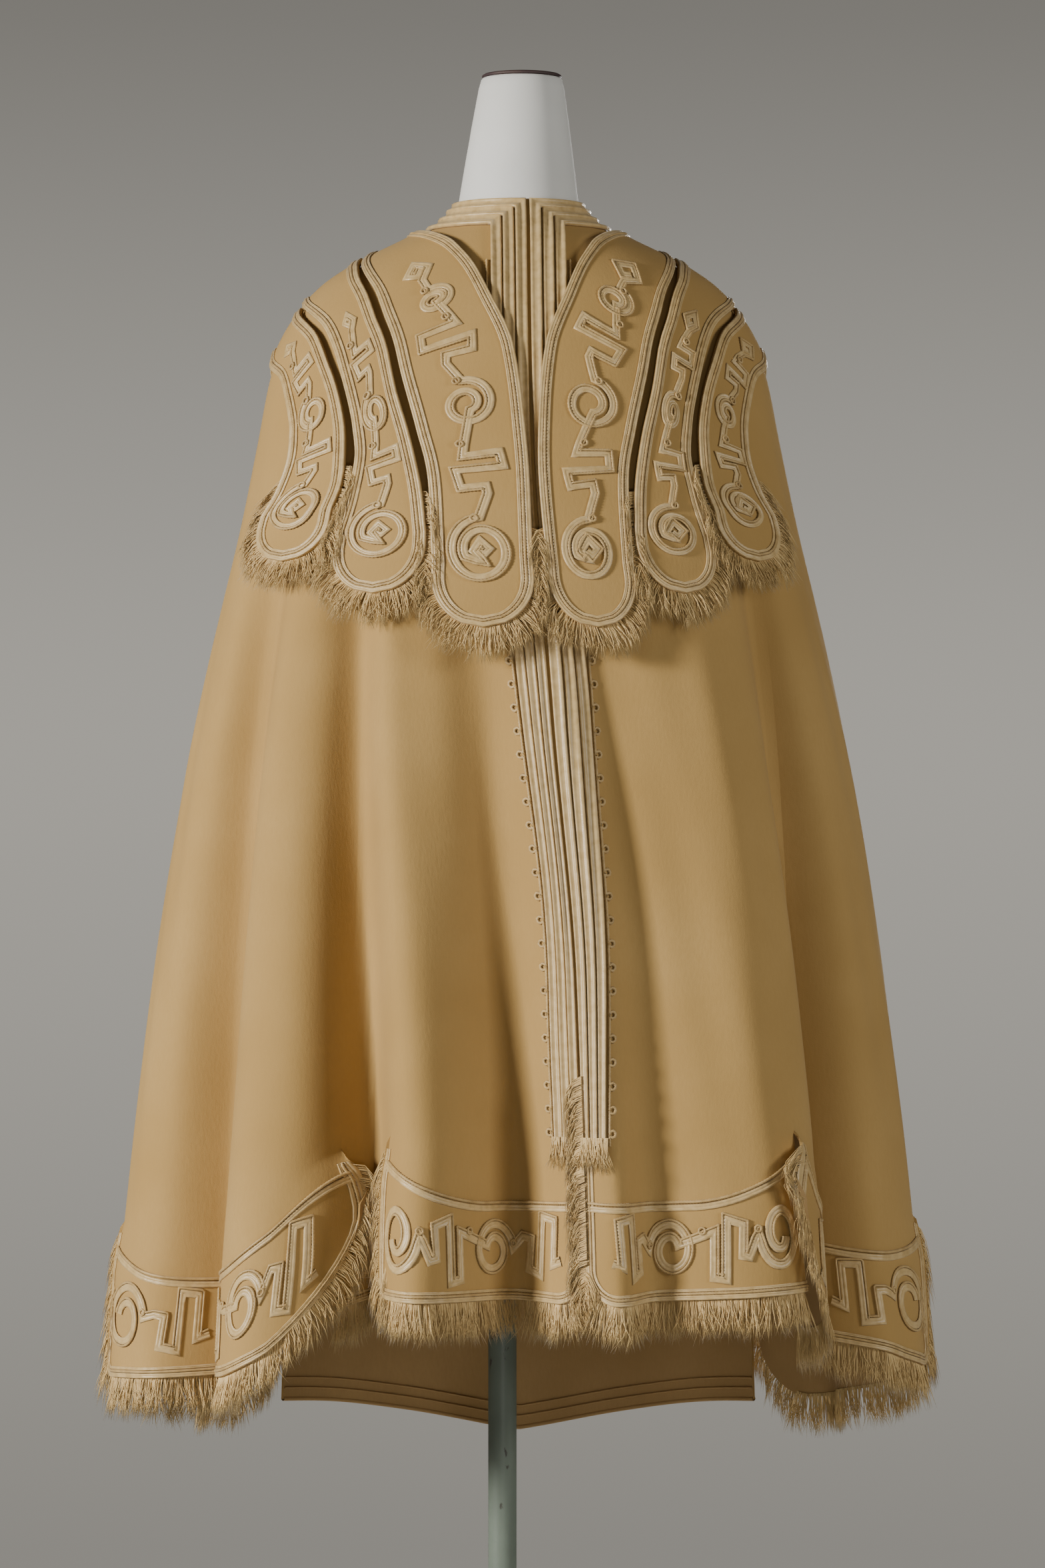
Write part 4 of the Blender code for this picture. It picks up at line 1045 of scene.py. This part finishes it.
class FrontChart:
    """The front edge and the neck as one flat chart: metres round from the opening, and height."""

    def __init__(self, side):
        self.side = side
        self.neck_scale = float(metres_per_degree(2.0, NECK_EDGE_Z))

    def share(self, z):
        return smooth_curve(ROWS_SHARE["z"], ROWS_SHARE[self.side], z)

    def place(self, round_from, z, out=0.0):
        near = np.minimum(round_from, NECK_FROM) * self.share(z)
        angle = near / metres_per_degree(self.side * 2.0, z)
        angle = angle + np.maximum(0, round_from - NECK_FROM) / self.neck_scale
        return cloth_point(self.side * angle, z, BAND_CLEAR + out)

    def place_cord(self, beyond, z, out=0.0):
        """A place measured outwards from the rows' outer edge."""
        angle = (ROWS_EDGE * self.share(z) + beyond) / metres_per_degree(self.side * 2.0, z)
        return cloth_point(self.side * angle, z, out)

    def reach(self, z):
        """How far round the middle of the back is, at that height."""
        near = NECK_FROM / float(metres_per_degree(self.side * 2.0, z))
        return NECK_FROM + (179.8 - near) * self.neck_scale


def picot_path(x, bottom, top, hand):
    """A cord line with a small loop on its outer side at each pitch."""
    parts = [np.array([[x, bottom]])]
    z = bottom + PICOT_PITCH / 2
    while z < top - PICOT_PITCH / 2:
        parts.append(ring_path((x + PICOT_RADIUS, z), PICOT_RADIUS, 180, hand * 360, 1.0, 16))
        z += PICOT_PITCH
    parts.append(np.array([[x, top]]))
    return np.concatenate(parts)


def make_front_edging(word, stretch, rng):
    """Rows of folded ribbon up one front and round half the neck, a looped cord and tufts."""
    side = -1 if word == "left" else 1
    chart = FrontChart(side)
    ribbons, cords, fringe = Shape(), Shape(), Shape()
    pitch = BAND_WIDTH / BAND_RIBBONS
    bottom = float(hem_height(side * 3.0)) + FRONT_ROW_BOTTOM - 0.008
    for row in range(BAND_RIBBONS):
        x = BAND_FROM_OPENING * 0.6 + (row + 0.5) * pitch
        top = NECK_EDGE_Z - 0.0006 - (row + 0.5) * pitch * NECK_SLOPE
        path = np.array([(x, bottom), (x, top), (chart.reach(top), top)])
        path = filled(path, 0.009, 0.0075)
        add_ribbon(ribbons, chart.place, path[::-1] if side > 0 else path, pitch * 0.90, 0.0031,
                   section_points=ROW_RIBBON if side > 0 else
                   tuple((-a, b) for a, b in reversed(ROW_RIBBON)))
    add_cord(cords, chart.place_cord, picot_path(0.0022, bottom, 1.345, 1))
    tuft = np.array([(-TUFT_WIDTH, bottom + 0.004), (0.001, bottom + 0.004)])
    add_strands(fringe, chart.place_cord, tuft, rng, 3600, TUFT_LENGTH, 0.0036, 0.004)
    if side > 0:
        edge = np.array([(0.0006, EDGE_FRINGE[0]), (0.0006, EDGE_FRINGE[1])])
        add_strands(fringe, stretch.place, edge, rng, 3600, FRINGE_LENGTH * 0.9, 0.0036, 0.005)
    made = (ribbons.build("front_ribbons_" + word, [SATIN]),
            cords.build("front_cord_" + word, [CORD]),
            fringe.build("fringe_front_" + word, [FRINGE]))
    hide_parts("front_band_" + word, "neck_band_" + word)
    return list(made)


def make_back_hem(stretch):
    """The rolled edge of the back, and the two stitched ridges inside it."""
    shape = Shape()
    along = np.linspace(0.001, stretch.length - 0.001, 170)
    for up, out, radius in ((0.0004, -CLOTH - 0.0010, 0.0021), (0.0105, -CLOTH - 0.0016, 0.0009),
                            (0.0195, -CLOTH - 0.0016, 0.0009)):
        path = np.stack([along, 0 * along + up], 1)
        around = np.linspace(0, 2 * math.pi, 8, endpoint=False)
        add_sweep(shape, stretch.place, path, radius * np.cos(around),
                  out + radius + radius * np.sin(around))
    made = shape.build("hem_roll_back", [WOOL_INSIDE_PAINTED_LIGHT])
    return made


def make_cape(rng):
    for name, spans in PANELS.items():
        stretches = [Stretch(start, end, name != "back") for start, end in spans]
        obj, flat, area = make_panel(name, stretches)
        trims = [make_back_hem(stretches[0])] if name == "back" else make_hem(name, stretches, rng)
        if name.startswith("front"):
            trims += make_front_edging(name.removeprefix("front_"), stretches[0], rng)
    for word in ("left", "right"):
        for kind in STRAPS:
            make_strap(kind, word, rng)


NECK_LEAN = 0.0028
NECK_PROFILE = ((0.0, NECK_SEAT_Z), (0.0506, NECK_SEAT_Z), (0.0512, NECK_SEAT_Z + 0.0006),
                (0.0507, 1.400), (0.0465, 1.430), (0.0405, 1.470), (0.0360, 1.498),
                (0.0341, 1.5052), (0.0330, 1.5066), (0.0316, NECK_TOP_Z), (0.0, NECK_TOP_Z))
CAP_PROFILE = ((0.0, 0.0003), (0.0328, 0.0003), (0.0336, 0.0010), (0.0334, 0.0020),
               (0.0318, 0.0030), (0.0280, 0.0036), (0.0, 0.0037))
POLE_PROFILE = ((0.0, 0.0), (POLE_RADIUS, 0.0), (POLE_RADIUS, 0.2), (POLE_RADIUS, 0.4),
                (POLE_RADIUS, 0.6), (POLE_RADIUS, TORSO_BOTTOM_Z - FOOT_TOP_Z - 0.0006),
                (0.0, TORSO_BOTTOM_Z - FOOT_TOP_Z - 0.0006))
FOOT_PROFILE = ((0.0, 0.0), (0.1670, 0.0), (0.1690, 0.0008), (0.1700, 0.0022), (0.1700, 0.0072),
                (0.1692, 0.0092), (0.1660, 0.0106), (0.1100, 0.0148), (0.0600, 0.0180),
                (0.0320, 0.0212), (0.0268, 0.0238), (0.0245, 0.0290), (0.0228, 0.0400),
                (0.0222, 0.0500), (0.0210, 0.0530), (0.0185, 0.0540), (0.0, 0.0540))


def make_turned(name, profile, centre, looks, node, lean=0.0):
    """A solid turned round an upright axis, which may lean to the viewer's right."""
    profile = np.array(profile)
    turn = np.linspace(0, 2 * math.pi, 72, endpoint=False)
    radius, z = profile[:, :1], profile[:, 1:]
    shift = lean * np.clip((z - NECK_EDGE_Z) / (NECK_TOP_Z - NECK_EDGE_Z), 0, 1)
    points = np.stack([centre[0] + shift + radius * np.cos(turn), centre[1] + radius * np.sin(turn),
                       centre[2] + z + 0 * turn], -1)
    shape = Shape()
    shape.add(points, grid_quads(*points.shape[:2], wrap=True)[:, ::-1])
    made = shape.build(name, [looks])
    tidy_mesh(made, 0.00001)
    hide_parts(node)


def make_form():
    make_turned("neck_cone", NECK_PROFILE, (GARMENT_X, 0.010, 0.0), FORM, "form_neck",
                NECK_LEAN)
    make_turned("neck_cap", CAP_PROFILE, (GARMENT_X + NECK_LEAN, 0.010, NECK_TOP_Z), CAP,
                "form_neck_cap")
    make_turned("pole", POLE_PROFILE, (0.0, 0.0, FOOT_TOP_Z + 0.0003), PAINT, "form_pole")
    make_turned("foot", FOOT_PROFILE, (0.0, 0.0, 0.0), PAINT, "form_foot")
    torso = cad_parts["form_torso"]
    torso.data.materials.clear()
    torso.data.materials.append(JERSEY)


# Stage

FLOOR_RADIUS = 1.12


def make_stage():
    """A round pale floor, which ends below the main view's lower edge."""
    looks = new_finish("floor", 0.9, 0.0, 0.1)
    set_colour(looks, blend_colours(looks, remap(looks, noise(looks, 0.7), 0.3, 0.7),
                                    (0.50, 0.485, 0.45), (0.46, 0.445, 0.41)))
    turn = np.linspace(0, 2 * math.pi, 96, endpoint=False)
    rim = [(FLOOR_RADIUS * math.cos(a), FLOOR_RADIUS * math.sin(a), 0.0) for a in turn]
    mesh = bpy.data.meshes.new("floor")
    mesh.from_pydata(rim, [], [tuple(range(len(rim)))])
    mesh.materials.append(looks)
    floor = bpy.data.objects.new("floor", mesh)
    bpy.context.scene.collection.objects.link(floor)


def make_light(name, place, target, size, power, colour=(1.0, 1.0, 1.0)):
    data = bpy.data.lights.new(name, "AREA")
    data.size = size
    data.energy = power
    data.color = colour
    obj = bpy.data.objects.new(name, data)
    obj.location = place
    obj.rotation_euler = (Vector(target) - Vector(place)).to_track_quat("-Z", "Y").to_euler()
    obj.visible_camera = False
    bpy.context.scene.collection.objects.link(obj)


# Painted light on the backdrop the camera sees, a bright band at mid height with a darker top:
# height of the look direction, and grey
BACKDROP_PAINTED_LIGHT = ((0.0, 0.20), (0.430, 0.250), (0.492, 0.440), (0.525, 0.400), (0.573, 0.170),
              (1.0, 0.12))
ROOM_LIGHT = 0.065


def make_room():
    """A soft grey room: a gradient of painted light to look at, brightest in a band at mid height,
    and a dimmer even light from all round.
    """
    world = bpy.data.worlds.new("studio")
    bpy.context.scene.world = world
    world.use_nodes = True
    nodes, links = world.node_tree.nodes, world.node_tree.links
    even = nodes["Background"]
    even.inputs["Color"].default_value = (1.0, 0.97, 0.92, 1)
    even.inputs["Strength"].default_value = ROOM_LIGHT
    seen = nodes.new("ShaderNodeBackground")
    way = nodes.new("ShaderNodeTexCoord")
    split = nodes.new("ShaderNodeSeparateXYZ")
    height = nodes.new("ShaderNodeMapRange")
    height.inputs["From Min"].default_value = -1.0
    # Painted light: the backdrop's bright band and darker top, set by the height of the look
    # direction
    painted_light_ramp = nodes.new("ShaderNodeValToRGB")
    painted_light_ramp.color_ramp.interpolation = "B_SPLINE"
    while len(painted_light_ramp.color_ramp.elements) < len(BACKDROP_PAINTED_LIGHT):
        painted_light_ramp.color_ramp.elements.new(0.5)
    for element, (position, grey) in zip(painted_light_ramp.color_ramp.elements, BACKDROP_PAINTED_LIGHT):
        element.position = position
        element.color = (grey, grey * 0.955, grey * 0.86, 1)
    rays = nodes.new("ShaderNodeLightPath")
    mix = nodes.new("ShaderNodeMixShader")
    links.new(way.outputs["Generated"], split.inputs["Vector"])
    links.new(split.outputs["Z"], height.inputs["Value"])
    links.new(height.outputs["Result"], painted_light_ramp.inputs["Fac"])
    links.new(painted_light_ramp.outputs["Color"], seen.inputs["Color"])
    links.new(rays.outputs["Is Camera Ray"], mix.inputs["Fac"])
    links.new(even.outputs["Background"], mix.inputs[1])
    links.new(seen.outputs["Background"], mix.inputs[2])
    links.new(mix.outputs["Shader"], nodes["World Output"].inputs["Surface"])


def make_lights():
    make_light("key", (-3.9, -2.5, 1.75), (0.0, 0.0, 0.85), 0.8, 345, (1.0, 0.975, 0.94))
    make_light("fill", (3.9, -2.4, 1.9), (0.0, 0.0, 0.9), 1.2, 88, (1.0, 0.99, 0.96))
    make_light("low", (0.3, -3.4, 0.25), (0.0, 0.0, 0.45), 0.8, 12)
    make_light("behind", (0.7, 4.2, 1.3), (0.0, 0.0, 0.85), 1.6, 105)


def make_camera():
    data = bpy.data.cameras.new("camera")
    data.lens = 123
    data.sensor_width = 36
    obj = bpy.data.objects.new("camera", data)
    obj.location = (GARMENT_X + 0.0034, -4.5, 0.913)
    obj.rotation_euler = (math.pi / 2, 0, 0)
    bpy.context.scene.collection.objects.link(obj)
    bpy.context.scene.camera = obj


make_camera()
make_cape(np.random.default_rng(7))
make_form()
make_stage()
make_room()
make_lights()
